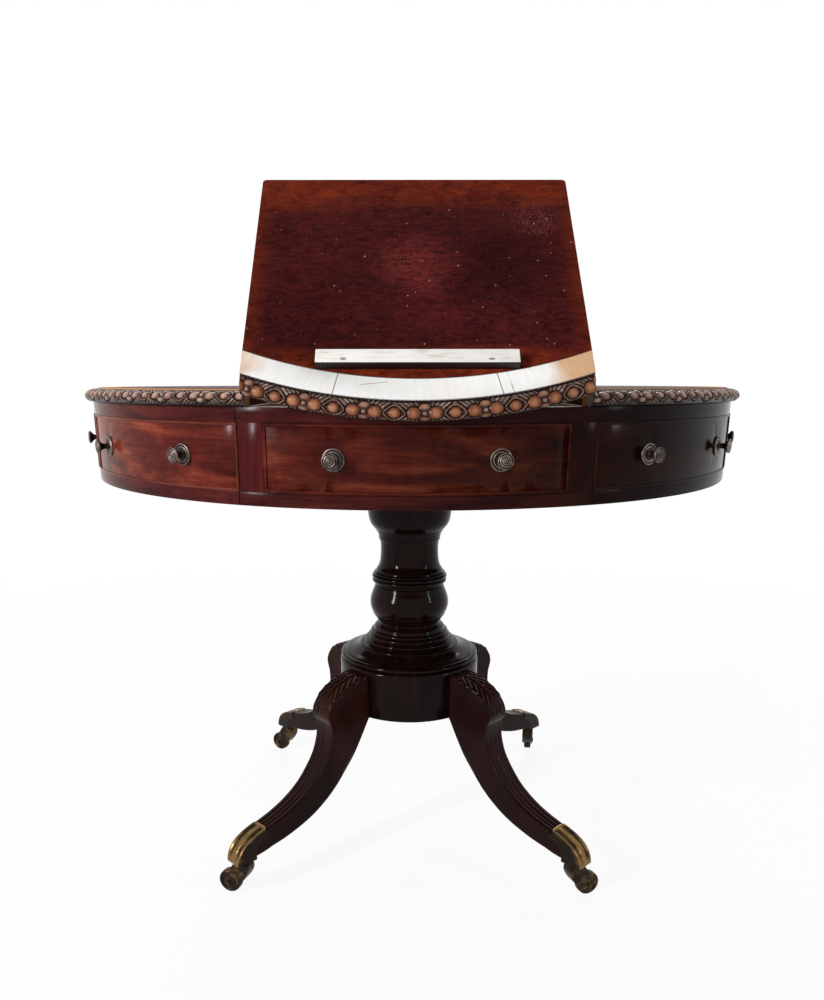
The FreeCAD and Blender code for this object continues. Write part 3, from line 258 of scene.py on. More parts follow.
def polished_wood(name, tones, along="x", source=None, scale=1.0, polish=0.14, sheen=0.08):
    """French polished wood with its grain along one axis of the object, or of the board a point lies in."""
    make = Finish(name)
    place = make.kept(source) if source else make.place()
    grain = make.scaled(place, tuple(part * scale for part in ALONG_GRAIN[along]))
    bands = make.noise(grain, 38, 5, 0.62, 0.9)
    pores = make.noise(grain, 640, 2, 0.5, 0.2)
    clouds = make.noise(place, 6, 3, 0.55, 0.4)
    color = make.ramp(make.blend((bands, 0.62), (clouds, 0.38)), *zip(WOOD_TONE_SHARES, tones))
    open_pores = make.range(pores, 0.56, 0.70)
    color = make.mix(make.times(open_pores, 0.35), color, (0.010, 0.003, 0.002))
    handling = make.noise(place, 46, 4, 0.6, 0.5)
    make.bump(make.plus(make.times(pores, 0.5), make.noise(place, 11, 2)), 0.0003, 0.3)
    return make.done(color, make.range(handling, 0.35, 0.75, polish, polish + 0.12), Specular_IOR_Level=sheen)


DARK_TONES = [(0.0020, 0.0011, 0.0011), (0.0058, 0.0022, 0.0019), (0.0170, 0.0048, 0.0034)]
dark_mahogany = polished_wood("turned_mahogany", DARK_TONES, along="z", polish=0.06, sheen=0.075)
new_piece("turned_hub", turned_mesh("turned_hub", joined_outline(HUB_OUTLINE), STEPS_ROUND_BASE),
          dark_mahogany, "base", "dark_mahogany", "hub")

# Column: one length of mahogany turned with a stepped foot, a vase between thin rings,
# a straight shaft and a cup that carries the drum. Its tenon is glued into the hub.
COLUMN_OUTLINE = [
    [(0, 312.6), (113.5, 312.6)],
    [(116.6, 313.6), (118.2, 316.0), (117.4, 318.8), (114.4, 320.6), (110.5, 321.2)],
    [(109.2, 322.6)],
    [(107.5, 323.4), (99.5, 325.0), (92.0, 327.6), (86.6, 330.4), (85.3, 331.8)],
    [(85.6, 334.2), (83.2, 336.0)],
    [(77.2, 336.8), (74.6, 338.2)],
    [(76.0, 340.6), (75.2, 343.2), (72.0, 344.4)],
    [(69.2, 345.0), (68.0, 346.4)],
    [(69.6, 348.4), (69.0, 351.0), (66.3, 352.2)],
    [(64.8, 353.0)],
    [(66.2, 355.2), (65.4, 357.8), (62.9, 358.8)],
    [(61.4, 359.6), (60.6, 361.0)],
    [(60.0, 364.2), (57.4, 367.4), (53.6, 370.2)],
    [(52.6, 371.4), (52.9, 373.4), (54.6, 375.4)],
    [(56.3, 377.8), (59.3, 382.6), (62.0, 386.4)],
    [(62.1, 387.6)],
    [(64.6, 393.5), (66.6, 400.5), (67.0, 407.8), (66.0, 415.4), (63.4, 423.5), (60.4, 431.2),
     (58.4, 436.6)],
    [(57.4, 437.4), (57.4, 438.8), (58.3, 439.6)],
    [(58.4, 441.6)],
    [(61.6, 442.6), (63.1, 445.2), (62.2, 448.0), (60.4, 449.0)],
    [(62.6, 450.0), (63.6, 452.4), (62.6, 454.8), (59.9, 455.6)],
    [(60.6, 456.8), (60.2, 459.0), (57.4, 460.4)],
    [(56.0, 464.0), (52.4, 470.0), (50.0, 478.0), (48.7, 490.0), (48.5, 502.0), (49.2, 510.0),
     (50.3, 514.6)],
    [(51.5, 515.6), (51.5, 517.6)],
    [(52.8, 524.0), (55.0, 529.2)],
    [(56.4, 529.8), (56.6, 531.2)],
    [(60.5, 535.6), (64.6, 541.0), (67.2, 547.0), (68.8, 554.0), (69.9, 563.0), (70.2, 575.0),
     (69.6, 588.0), (68.2, 598.0)],
    [(67.4, 599.5)],
    [(0, 599.5)],
]
new_piece("turned_column", turned_mesh("turned_column", joined_outline(COLUMN_OUTLINE, 5), STEPS_ROUND_BASE),
          dark_mahogany, "base", "dark_mahogany", "column", crease=38)

# Sabre legs: sawn from dark mahogany, reeded down the outer face and carved over the knee
# with one long leaf whose tip curls clear of the shin. Each is housed into the hub.
BASE_TURN = math.radians(-0.8)
LEG_HEADINGS = {"front_left": 225, "front_right": 315, "rear_left": 135, "rear_right": 45}
LEG_OUTER = [
    [(101.0, 303.6), (119.5, 303.9)],
    [(136, 302.2), (152, 298.0), (172, 290.6), (189, 279.2), (198.6, 267.0), (201.6, 255.5), (200.2, 247.0),
     (196.6, 239.0), (194.8, 226), (195.4, 210), (204, 185), (220, 162), (241, 140.5), (268, 123.5),
     (296, 112.0), (325, 104.0)],
]
LEG_INNER = [
    [(101.0, 229.4), (117.0, 229.2)],
    [(122.0, 220.0), (135.5, 195.0), (151.0, 170.0), (170.5, 148.0), (192.0, 126.0), (217.5, 106.5),
     (248.0, 90.0), (287.0, 77.0), (319.0, 70.5)],
]
UNDER_CAP = [((325.5, 97.0), (322.5, 69.6)), ((333.5, 87.6), (331.0, 68.0)), ((341.0, 80.0), (339.0, 67.0)),
             ((345.4, 73.0), (346.0, 66.3))]
UNDER_CAP_DISTANCES = [4, 12, 20, 26]
ROOT_WIDTH, TOE_WIDTH, WIDE_AT, NARROW_AT = 46.0, 30.5, 119.5, 381.0
EDGE_EASE, HOUSED_LENGTH, GRAIN_SHIFT = 1.1, 18.5, 0.013
REEDS, REED_DEPTH, REED_ROUND_SHARE, REEDS_START, REEDS_FULL = 4, 1.7, 0.94, 100.0, 150.0
LEAF_LENGTH, LEAF_HEIGHT, LEAF_WRAP, LEAF_EDGE, LEAF_TOP = 112.0, 1.5, 24.0, 1.6, 3
WRAP_FROM, WRAP_TO_SHARE = 8, 0.86
FROND_PITCH, FROND_SLANT, FROND_NOTCH = 15.0, 1.7, 3.2
LEAF_BASE_SHARE, FROND_SHARE, VEIN_SHARE, RIB_SHARE, GROOVE_SHARE = 0.35, 0.8, 0.22, 1.05, 0.9
RIB_HALF, RIB_TOP_HALF, GROOVE_AT, GROOVE_HALF, GROOVE_FLOOR_HALF = 4.4, 2.2, 4.6, 1.2, 0.2


def resampled(points, shares):
    """Points at given shares of the length of a line of points, and that length."""
    line = np.array([tuple(point) for point in points], float)
    length = np.r_[0, np.cumsum(np.linalg.norm(np.diff(line, axis=0), axis=1))]
    at = np.asarray(shares) * length[-1]
    return np.stack([np.interp(at, length, line[:, axis]) for axis in range(line.shape[1])], 1), length[-1]


def eased(value, low, high):
    """0 below the low value and 1 above the high one, with a smooth step between them."""
    share = np.clip((value - low) / (high - low), 0, 1)
    return share * share * (3 - 2 * share)


def leg_half_width(reach):
    return (ROOT_WIDTH + (TOE_WIDTH - ROOT_WIDTH)
            * np.clip((reach - WIDE_AT) / (NARROW_AT - WIDE_AT), 0, 1)) / 2


def leaf_lift(along, spread, half):
    """Height of the knee carving, by distance along the leg and from its middle line over the edge."""
    edge = (half + LEAF_WRAP * (1 - eased(along, WRAP_FROM, LEAF_LENGTH * WRAP_TO_SHARE))) * np.sqrt(
        np.clip(1 - (along / LEAF_LENGTH) ** 5, 0, 1))
    turns = math.pi * (along - FROND_SLANT * spread) / FROND_PITCH
    wave = np.abs(np.sin(turns))
    edge = edge - FROND_NOTCH * (1 - wave)
    inside = eased(edge - spread, 0, LEAF_EDGE) * eased(along, -LEAF_TOP, LEAF_TOP)
    frond = wave ** 0.55 * FROND_SHARE + VEIN_SHARE * np.cos(4 * turns)
    rib = eased(spread, RIB_HALF, RIB_TOP_HALF) * RIB_SHARE
    groove = GROOVE_SHARE * eased(np.abs(spread - GROOVE_AT), GROOVE_HALF, GROOVE_FLOOR_HALF)
    return inside * (LEAF_BASE_SHARE + (np.maximum(frond, rib) - groove)) * LEAF_HEIGHT


def reed_lift(along, spread, half):
    """Depth of the hollows between the reeds, by distance along the leg and from its middle line."""
    place = np.clip(spread / (half - EDGE_EASE) * 0.5 + 0.5, 0, 1) * REEDS
    crest = 2 * (place - np.floor(place)) - 1
    hollow = REED_DEPTH * (np.sqrt(np.clip(1 - REED_ROUND_SHARE * crest * crest, 0, 1)) - 1)
    return hollow * eased(along, REEDS_START, REEDS_FULL)


def turned_to(heading):
    """Turn from the X axis to the heading of a leg."""
    return Matrix.Rotation(math.radians(heading) + BASE_TURN, 4, "Z")


def lofted(name, rows, place):
    """Mesh with a skin over rows of points in millimetres and a flat face at each end."""
    shape = bmesh.new()
    rings = [[shape.verts.new(place @ (Vector(point) * MM)) for point in row] for row in rows]
    skin(shape, rings)
    shape.faces.new(rings[0])
    shape.faces.new(rings[-1])
    return into_mesh(shape, name)


def marked(mesh, name, values, domain="POINT"):
    """Keep a number or a place for each point or corner of a mesh, for its finish to use."""
    values = np.asarray(values, float)
    kind, key = ("FLOAT", "value") if values.ndim == 1 else ("FLOAT_VECTOR", "vector")
    mesh.attributes.new(name, kind, domain).data.foreach_set(key, values.ravel())
    return mesh


def leg_mesh(name, heading):
    """One leg, laid along X and turned to its heading, with its own stretch of grain."""
    shares = np.r_[np.linspace(0, 0.45, 125)[:-1], np.linspace(0.45, 1, 96)]
    outer, length = resampled(joined_outline(LEG_OUTER, 12), shares)
    inner, _ = resampled(joined_outline(LEG_INNER, 12), shares)
    along = shares * length - HOUSED_LENGTH
    face = np.linspace(-1, 1, 43)
    side = np.r_[np.linspace(0, 0.42, 22), np.linspace(0.42, 1, 9)[1:]]
    rows = []
    for (outer_x, outer_z), (inner_x, inner_z), distance in zip(outer, inner, along):
        half = leg_half_width(outer_x)
        deep = math.hypot(outer_x - inner_x, outer_z - inner_z)
        out_x, out_z = (outer_x - inner_x) / deep, (outer_z - inner_z) / deep
        row = []

        def put(across, down):
            row.append((outer_x - out_x * down, across, outer_z - out_z * down))

        for share in face:
            across = share * (half - EDGE_EASE)
            put(across, -leaf_lift(distance, abs(across), half) - reed_lift(distance, across, half))
        for share in side:
            down = EDGE_EASE + share * (deep - 2 * EDGE_EASE)
            put(half + leaf_lift(distance, half + down, half), down)
        for share in face[::-7]:
            put(share * (half - EDGE_EASE), deep)
        for share in side[::-1]:
            down = EDGE_EASE + share * (deep - 2 * EDGE_EASE)
            put(-half - leaf_lift(distance, half + down, half), down)
        rows.append(row)
    last, (outer_x, outer_z), (inner_x, inner_z) = rows[-1], outer[-1], inner[-1]
    deep = math.hypot(outer_x - inner_x, outer_z - inner_z)
    for (top_x, top_z), (low_x, low_z) in UNDER_CAP:
        narrow = leg_half_width(low_x) / leg_half_width(outer_x)
        row = []
        for x, across, z in last:
            down = ((outer_x - x) * (outer_x - inner_x) + (outer_z - z) * (outer_z - inner_z)) / deep ** 2
            row.append((top_x + (low_x - top_x) * down, across * narrow, top_z + (low_z - top_z) * down))
        rows.append(row)
    path = np.r_[along, along[-1] + UNDER_CAP_DISTANCES]
    grain = [(distance, point[1], 0) for distance, row in zip(path, rows) for point in row]
    return marked(lofted(name, rows, turned_to(heading)), "grain",
                  np.array(grain) * MM + heading * GRAIN_SHIFT)


LEG_TONES = [(0.0042, 0.0014, 0.0013), (0.0130, 0.0032, 0.0026), (0.0380, 0.0080, 0.0050)]
leg_mahogany = polished_wood("leg_mahogany", LEG_TONES, source="grain", polish=0.17, sheen=0.06)
for corner, heading in LEG_HEADINGS.items():
    new_piece(f"{corner}_sabre_leg", leg_mesh(f"{corner}_sabre_leg", heading), leg_mahogany, "base",
              "dark_mahogany", f"{corner}_leg", crease=50)

# Toe caps: cast brass, hollowed for the end of the leg and fluted down the front.
# Each is driven onto the toe and holds the socket of its caster.
CAP_OUTER = [(324.6, 104.2), (326.0, 104.9), (333, 103.6), (340, 101.6), (353, 97.0), (365, 90.4),
             (374, 81.8),
             (379, 72.0), (380.8, 64.0), (380.9, 60.2)]
CAP_INNER = [(321.6, 93.2), (322.0, 91.6), (328, 89.4), (334, 87.0), (339, 83.6), (343, 79.0), (346, 73.0),
             (347, 66.4), (347, 62.0), (347.2, 60.2)]
CAP_PROUD, FLUTE_DEPTH, COLLAR_HEIGHT, CAP_EDGE_DROP = 1.0, 1.5, 0.5, 1.4
CAP_ARCH_SHARE, FLUTE_FROM_SHARE, FLUTE_WIDE_SHARE, CAP_EDGE_SHARE = 0.055, 0.22, 0.56, 0.14
# SHADED_CAP_SIDES: a low mark that darkens the sides and the inside of each cap as painted shade.
SHADED_CAP_SIDES = -1.6


def cap_lift(share_across, share_along):
    """Shape of the front of a cap: a rounded middle rib between two flutes, under a plain collar."""
    spot = abs(share_across)
    flute_share = min(max((spot - FLUTE_FROM_SHARE) / FLUTE_WIDE_SHARE, 0), 1)
    flute = -FLUTE_DEPTH * math.sin(math.pi * flute_share) ** 0.8
    fade = eased(share_along, 0.05, 0.10) * (1 - eased(share_along, 0.80, 0.95))
    collar = COLLAR_HEIGHT * (1 - eased(share_along, 0.035, 0.05))
    return flute * fade + collar - CAP_EDGE_DROP * (max(spot - 1 + CAP_EDGE_SHARE, 0) / CAP_EDGE_SHARE) ** 2


def cap_mesh(name, heading):
    """One cap, laid along X and turned to the heading of its leg, with its ridges marked as rubbed and its
    sides marked for painted shade.
    """
    outer_line, inner_line = flowing(CAP_OUTER), flowing(CAP_INNER)
    rows, worn = [], []
    for share in np.r_[0, 0.012, 0.03, 0.045, 0.052, np.linspace(0.075, 1, 44)]:
        (inner_x, inner_z), = resampled(inner_line, [share])[0]
        row = []
        for across in np.linspace(-1, 1, 33):
            own = share + (1 - share) * CAP_ARCH_SHARE * across ** 2 * (1 - share)
            (x, z), = resampled(outer_line, [own])[0]
            deep = math.hypot(x - inner_x, z - inner_z)
            lift = cap_lift(across, own)
            half = leg_half_width(x) + CAP_PROUD
            row.append((x + (x - inner_x) / deep * lift, across * half, z + (z - inner_z) / deep * lift))
            worn.append(1 + lift / FLUTE_DEPTH)
        # The sides and the inside take the low mark: painted shade.
        for across in (1, 0.6, 0, -0.6, -1):
            row.append((inner_x, across * half, inner_z))
            worn.append(SHADED_CAP_SIDES)
        rows.append(row)
    return marked(lofted(name, rows, turned_to(heading)), "worn", worn)


def aged_metal(name, bright, dull, rough=0.26):
    """Rubbed metal that is bright where hands and dusters reach it and dull brown in the hollows."""
    make = Finish(name)
    place = make.place()
    tarnish = make.noise(place, 130, 4, 0.62, 0.6)
    stains = make.noise(place, 38, 3, 0.5, 0.4)
    # The mark kept on each point also darkens the cap sides as painted shade.
    share = make.less(make.blend((tarnish, 0.7), (stains, 0.5)), make.times(make.kept("worn", "Fac"), 0.34))
    dulled = make.range(share, 0.14, 0.60)
    make.bump(make.plus(tarnish, make.times(make.noise(place, 900, 2), 0.4)), 0.0002, 0.35)
    return make.done(make.mix(dulled, bright, dull), make.range(dulled, 0, 1, rough, rough + 0.24),
                     Metallic=0.85, Specular_IOR_Level=0.3)


aged_brass = aged_metal("aged_brass", (0.250, 0.142, 0.043), (0.015, 0.009, 0.006), 0.22)
for corner, heading in LEG_HEADINGS.items():
    new_piece(f"{corner}_brass_cap", cap_mesh(f"{corner}_brass_cap", heading), aged_brass, "base", "brass",
              f"{corner}_toe_cap", crease=42)

# Casters: a brass fork with two curved horns turns under each toe cap,
# and a solid brass wheel runs between the horns on a riveted axle.
WHEEL_OUTLINE = [
    [(3.05, -6.2), (5.4, -6.2)],
    [(6.2, -5.4), (7.0, -5.3)],
    [(12.5, -5.5)],
    [(13.8, -6.4), (15.0, -6.9)],
    [(16.9, -6.7), (18.0, -5.6), (18.4, -3.4), (18.5, 0), (18.4, 3.4), (18.0, 5.6), (16.9, 6.7),
     (15.0, 6.9)],
    [(13.8, 6.4), (12.5, 5.5)],
    [(7.0, 5.3)],
    [(6.2, 5.4), (5.4, 6.2)],
    [(3.05, 6.2)],
]
CASTER_PIN_REACH, STEPS_ROUND_WHEEL = 362.0, 72
WELD = 1e-5


def without_flat_edges(source, place=Matrix.Identity(4), flat=1.5):
    """Shape of a CAD mesh, moved to its place, with its facets joined up where they lie flat."""
    shape = bmesh.new()
    shape.from_mesh(source)
    shape.transform(place)
    bmesh.ops.remove_doubles(shape, verts=shape.verts, dist=WELD)
    bmesh.ops.dissolve_limit(shape, angle_limit=math.radians(flat), verts=shape.verts, edges=shape.edges,
                             delimit={"NORMAL"})
    return shape


def eased_copy(node, width=0.6, segments=2, angle=32):
    """Mesh of a CAD node with its facets joined up and its sharp edges softened."""
    shape = without_flat_edges(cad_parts[node].data)
    if width:
        sharp = [edge for edge in shape.edges if len(edge.link_faces) == 2
                 and edge.calc_face_angle() > math.radians(angle)]
        bmesh.ops.bevel(shape, geom=sharp, offset=width * MM, offset_type="OFFSET",
                        segments=segments, profile=0.6,
                        affect="EDGES", clamp_overlap=True, loop_slide=True)
    bmesh.ops.triangulate(shape, faces=[face for face in shape.faces if len(face.verts) > 4])
    return into_mesh(shape, node)


for corner, heading in LEG_HEADINGS.items():
    low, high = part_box(f"{corner}_wheel")
    centre = (low + high) / 2
    trail = (centre - turned_to(heading) @ Vector((CASTER_PIN_REACH * MM, 0, 0))).to_2d()
    place = (Matrix.Translation(centre) @ Matrix.Rotation(math.atan2(trail.y, trail.x), 4, "Z")
             @ Matrix.Rotation(math.pi / 2, 4, "X"))
    wheel = turned_mesh(f"{corner}_brass_wheel", joined_outline(WHEEL_OUTLINE, 3), STEPS_ROUND_WHEEL, place)
    new_piece(f"{corner}_brass_wheel", wheel, aged_brass, f"{corner}_roller", "brass", f"{corner}_wheel")
    new_piece(f"{corner}_brass_fork", eased_copy(f"{corner}_fork", 0.35), aged_brass,
              f"{corner}_caster", "brass",
              f"{corner}_fork")

# Iron strap under the hub: a cross of flat bar that ties the four legs to the hub,
# held by eight slotted screws. The spindle that carries the drum is locked by a square nut.
SCREW_OUTLINE = [
    [(0, 0), (2.1, 0)],
    [(2.3, -0.4)],
    [(4.6, -1.7), (4.9, -2.1), (4.7, -2.4)],
    [(0, -2.45)],
]
STEPS_ROUND_SCREW, SLOT_WIDTH, SLOT_DEPTH, HEAD_FACE = 28, 0.9, 1.2, -1.75
HUB_SCREW_REACH, LEG_SCREW_REACH = 59.75, 110.5
STRAP_UNDERSIDE = 226.0


def new_tree(name, entries, result):
    """Geometry Nodes tree with its named inputs and its result, as nodes to add to and as given sockets."""
    tree = bpy.data.node_groups.new(name, "GeometryNodeTree")
    for entry, kind in entries.items():
        tree.interface.new_socket(entry, in_out="INPUT", socket_type=f"NodeSocket{kind}")
    tree.interface.new_socket(result, in_out="OUTPUT", socket_type="NodeSocketGeometry")
    make = Nodes(tree)
    return make, make.add("NodeGroupInput").outputs


def finished_tree(make, copies, finish, weld=0.0):
    """Make the copies real, weld them where they meet, give them their material and hand them out."""
    real = make.add("GeometryNodeRealizeInstances", i0=copies).outputs[0]
    if weld:
        real = make.add("GeometryNodeMergeByDistance", Geometry=real, Distance=weld).outputs[0]
    make.add("NodeGroupOutput",
             i0=make.add("GeometryNodeSetMaterial", Geometry=real, Material=finish).outputs[0])
    return make.tree


def copies_tree():
    """Tree that sets a copy of one part on every seat, facing outwards and turned loosely about itself."""
    make, given = new_tree("copies_on_seats", {"Seats": "Geometry", "Part": "Object", "Loose turn": "Float",
                                               "Finish": "Material"}, "Parts")
    outwards = make.add("GeometryNodeInputNamedAttribute", {"data_type": "FLOAT_VECTOR"}, Name="outwards")
    facing = make.add("FunctionNodeAlignRotationToVector", {"axis": "Z"},
                      Vector=outwards.outputs["Attribute"])
    chance = make.add("FunctionNodeRandomValue", {"data_type": "FLOAT"},
                      i2=0.0, i3=given["Loose turn"], Seed=7)
    spin = make.add("FunctionNodeAxisAngleToRotation", Axis=(0, 0, 1), Angle=chance.outputs[1])
    turned = make.add("FunctionNodeRotateRotation", {"rotation_space": "LOCAL"}, Rotation=facing.outputs[0],
                      Rotate_By=spin.outputs[0])
    part = make.add("GeometryNodeObjectInfo", Object=given["Part"])
    copies = make.add("GeometryNodeInstanceOnPoints", Points=given["Seats"],
                      Instance=part.outputs["Geometry"],
                      Rotation=turned.outputs[0])
    return finished_tree(make, copies.outputs[0], given["Finish"])


def made_by(tree, start, name, **inputs):
    """Plain mesh that a Geometry Nodes tree makes from a starting mesh."""
    seed = bpy.data.objects.new(name + "_seed", start)
    bpy.context.scene.collection.objects.link(seed)
    modifier = seed.modifiers.new("make", "NODES")
    modifier.node_group = tree
    sockets = {item.name.replace(" ", "_").lower(): item.identifier for item in tree.interface.items_tree
               if item.item_type == "SOCKET" and item.in_out == "INPUT"}
    for key, value in inputs.items():
        modifier[sockets[key]] = value
    seed.update_tag()
    bpy.context.view_layer.update()
    seen = seed.evaluated_get(bpy.context.evaluated_depsgraph_get())
    mesh = bpy.data.meshes.new_from_object(seen)
    mesh.name = name
    bpy.data.objects.remove(seed)
    return mesh


def copies_of(master, name, places, directions, material, loose_turn):
    """Copies of one part as one mesh, each on its place with its Z axis along the direction given there."""
    part = bpy.data.objects.new(name + "_master", master)
    seats = bpy.data.meshes.new(name + "_seats")
    seats.from_pydata([tuple(place) for place in places], [], [])
    marked(seats, "outwards", [tuple(way) for way in directions])
    mesh = made_by(COPIES_ON_SEATS, seats, name, part=part, loose_turn=loose_turn, finish=material)
    bpy.data.objects.remove(part)
    return mesh


def slotted_screw():
    """Head of a strap screw with its slot cut across."""
    mesh = turned_mesh("slotted_screw", joined_outline(SCREW_OUTLINE, 3), STEPS_ROUND_SCREW)
    shape = bmesh.new()
    shape.from_mesh(mesh)
    for side in (-1, 1):
        bmesh.ops.bisect_plane(shape, geom=shape.verts[:] + shape.edges[:] + shape.faces[:],
                               plane_co=(side * SLOT_WIDTH * MM / 2, 0, 0), plane_no=(1, 0, 0))
    head = [face for face in shape.faces if abs(face.calc_center_median().x) < SLOT_WIDTH * MM / 2
            and face.calc_center_median().z < HEAD_FACE * MM]
    sunk = bmesh.ops.extrude_face_region(shape, geom=head)
    verts = [item for item in sunk["geom"] if isinstance(item, bmesh.types.BMVert)]
    bmesh.ops.delete(shape, geom=head, context="FACES")
    bmesh.ops.translate(shape, verts=verts, vec=(0, 0, SLOT_DEPTH * MM))
    shape.to_mesh(mesh)
    shape.free()
    return mesh


def forged_metal(name, light, dark, rough=0.5):
    """Iron or steel with scale and brush marks."""
    make = Finish(name)
    place = make.place()
    scale = make.noise(place, 95, 5, 0.62, 0.7)
    marks = make.noise(make.scaled(place, (1, 0.06, 1)), 800, 2)
    make.bump(make.blend((scale, 0.8), (marks, 0.3)), 0.0004, 0.4)
    return make.done(make.mix(make.range(scale, 0.36, 0.66), light, dark),
                     make.range(scale, 0.3, 0.7, rough - 0.1, rough + 0.15), Metallic=0.85)


def dressed(material, *nodes):
    """Give CAD nodes their finish."""
    for node in nodes:
        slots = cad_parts[node].data.materials
        slots.clear()
        slots.append(material)


COPIES_ON_SEATS = copies_tree()
black_iron = forged_metal("black_iron", (0.050, 0.044, 0.040), (0.016, 0.013, 0.012))
bright_steel = forged_metal("bright_steel", (0.36, 0.35, 0.34), (0.13, 0.11, 0.10), 0.34)
screw_places = [turned_to(heading) @ (Vector((reach, 0, STRAP_UNDERSIDE)) * MM)
                for heading in LEG_HEADINGS.values() for reach in (HUB_SCREW_REACH, LEG_SCREW_REACH)]
screws = copies_of(slotted_screw(), "slotted_strap_screws", screw_places, [(0, 0, 1)] * len(screw_places),
                   black_iron, math.pi)
new_piece("slotted_strap_screws", screws, black_iron, "base", "iron", "strap_screws")
new_piece("forged_strap", eased_copy("hub_strap", 0.5), black_iron, "base", "iron", "hub_strap")
dressed(bright_steel, "spindle", "thrust_washer", "spindle_nut")

# Bearing and carcass: a round block turns on the washer, and boards of plain deal and
# mahogany make the floor, the dust board, the drawer divisions and the bearers of the top.
PLAIN_TONES = [(0.115, 0.052, 0.022), (0.200, 0.098, 0.042), (0.300, 0.165, 0.078)]
# SHADOW_TONES: the plain tones darkened as painted shade, for the block and floor inside the drum and the
# strut under the slope.
SHADOW_TONES = [(0.030, 0.011, 0.006), (0.062, 0.024, 0.012), (0.115, 0.048, 0.022)]
board_across = polished_wood("carcass_board", PLAIN_TONES, along="x", polish=0.55)
board_deep = polished_wood("carcass_board_deep", PLAIN_TONES, along="y", polish=0.55)
stained_block = polished_wood("stained_block", SHADOW_TONES, along="x", polish=0.5)
dressed(stained_block, "bearing_block", "bottom_board")
dressed(board_across, "dust_board", "top_bearers", "drawer_partitions")
dressed(board_deep, "drawer_runners")

# Frieze: bent rails and blocks of mahogany faced with veneer laid in leaves, one leaf to
# each eighth of the ring, with a fine joint between them. The fixed fronts lie in four leaves.
FRIEZE_RADIUS = 479.0
LOWER_RAIL_OUTLINE = [
    [(459, 634.3), (477.6, 634.1)],
    [(478.7, 634.5), (479, 635.4)],
    [(479, 649.5)],
    [(478.8, 649.9), (478.4, 650)],
    [(459, 650)],
    [(459, 634.3)],
]
STEPS_ROUND_RAIL = 256
QUARTER, JOINT_ANGLE, LEAF_SHIFT = 90.0, 24.55, 0.6
FIXED_HEADINGS = (315, 45, 135, 225)
DRAWER_HEADINGS = {"front": 270, "right": 0, "back": 90, "left": 180}


def veneered(mesh, shift=0.0, middle=None):
    """Lay the grain round the drum: distance round, height and depth, with a jump from leaf to leaf."""
    points = np.empty(len(mesh.vertices) * 3)
    mesh.vertices.foreach_get("co", points)
    points = points.reshape(-1, 3)
    corners = np.empty(len(mesh.loops), int)
    mesh.loops.foreach_get("vertex_index", corners)
    places = points[corners]
    angle = np.arctan2(places[:, 1], places[:, 0])
    for face in mesh.polygons:
        span = slice(face.loop_start, face.loop_start + face.loop_total)
        centre = points[list(face.vertices)].mean(0)
        bearing = math.atan2(centre[1], centre[0]) if middle is None else math.radians(middle)
        angle[span] = bearing + (angle[span] - bearing + math.pi) % math.tau - math.pi
        if middle is None:
            quarter = round(math.degrees(bearing) / QUARTER)
            aside = math.degrees(bearing) - quarter * QUARTER
            angle[span] += (quarter * 2 + (aside > JOINT_ANGLE) - (aside < -JOINT_ANGLE)) * LEAF_SHIFT
    round_drum = angle * FRIEZE_RADIUS * MM
    grain = np.stack([round_drum + shift, places[:, 2] + shift * 0.37,
                      np.hypot(places[:, 0], places[:, 1])], 1)
    return marked(mesh, "grain", grain, "CORNER")


def figured_veneer(name, tones, polish=0.12, figure=1.0, leaf_joint=False, tall=False):
    """Figured mahogany veneer under French polish, with painted light: lighter towards the left front and
    darker towards the right and the back.
    """
    make = Finish(name)
    grain, where = make.kept("grain"), make.place()
    waves = make.noise(make.scaled(grain, (1, 0.22, 1) if tall else (0.22, 1, 1)), 21, 4, 0.55, 2.6 * figure)
    lines = make.noise(make.scaled(grain, (1, 0.05, 1) if tall else (0.05, 1, 1)), 330, 3, 0.6, 0.3)
    ripple = make.noise(make.scaled(grain, (1, 0.5, 1)), 60, 2, 0.5, 1.2)
    color = make.ramp(make.blend((waves, 0.68), (lines, 0.2), (ripple, 0.12)), *tones)
    # Painted reflection: a bluish purple cast laid over the veneer in soft patches.
    painted_blue_reflection = make.mix(1.0, color, (0.88, 0.66, 1.08), "MULTIPLY")
    color = make.mix(make.range(make.noise(where, 5.5, 2), 0.44, 0.62, 0.0, 0.7), color, painted_blue_reflection)
    across, deep, _ = make.split(where)
    # Painted light and shade: the veneer is lightened towards the left front and darkened towards the right
    # and the back.
    painted_light_side = make.math("DIVIDE", make.blend((across, -0.82), (deep, -0.22)), 0.42)
    color = make.dimmed(color, make.range(painted_light_side, -0.28, 0.95, 0.08, 1.10))
    if leaf_joint:
        quarters = make.times(make.math("ARCTAN2", deep, across), 2 / math.pi)
        aside = make.apart(make.math("FRACT", make.plus(quarters, 0.5)), 0.5)
        joint = make.range(make.apart(aside, JOINT_ANGLE / QUARTER), 0.0010, 0.0018, 1.0, 0.0)
        color = make.mix(make.times(joint, 0.93), color, (0.004, 0.002, 0.002))
    pores = make.noise(make.scaled(grain, (0.06, 1, 1)), 900, 2)
    color = make.mix(make.times(make.range(pores, 0.58, 0.7), 0.4), color, (0.012, 0.003, 0.002))
    dust = make.noise(where, 55, 4, 0.6, 0.4)
    make.bump(make.plus(make.times(pores, 0.25), make.noise(where, 12, 2)), 0.0003, 0.22)
    return make.done(color, make.range(dust, 0.3, 0.75, polish, polish + 0.1), Specular_IOR_Level=0.045)


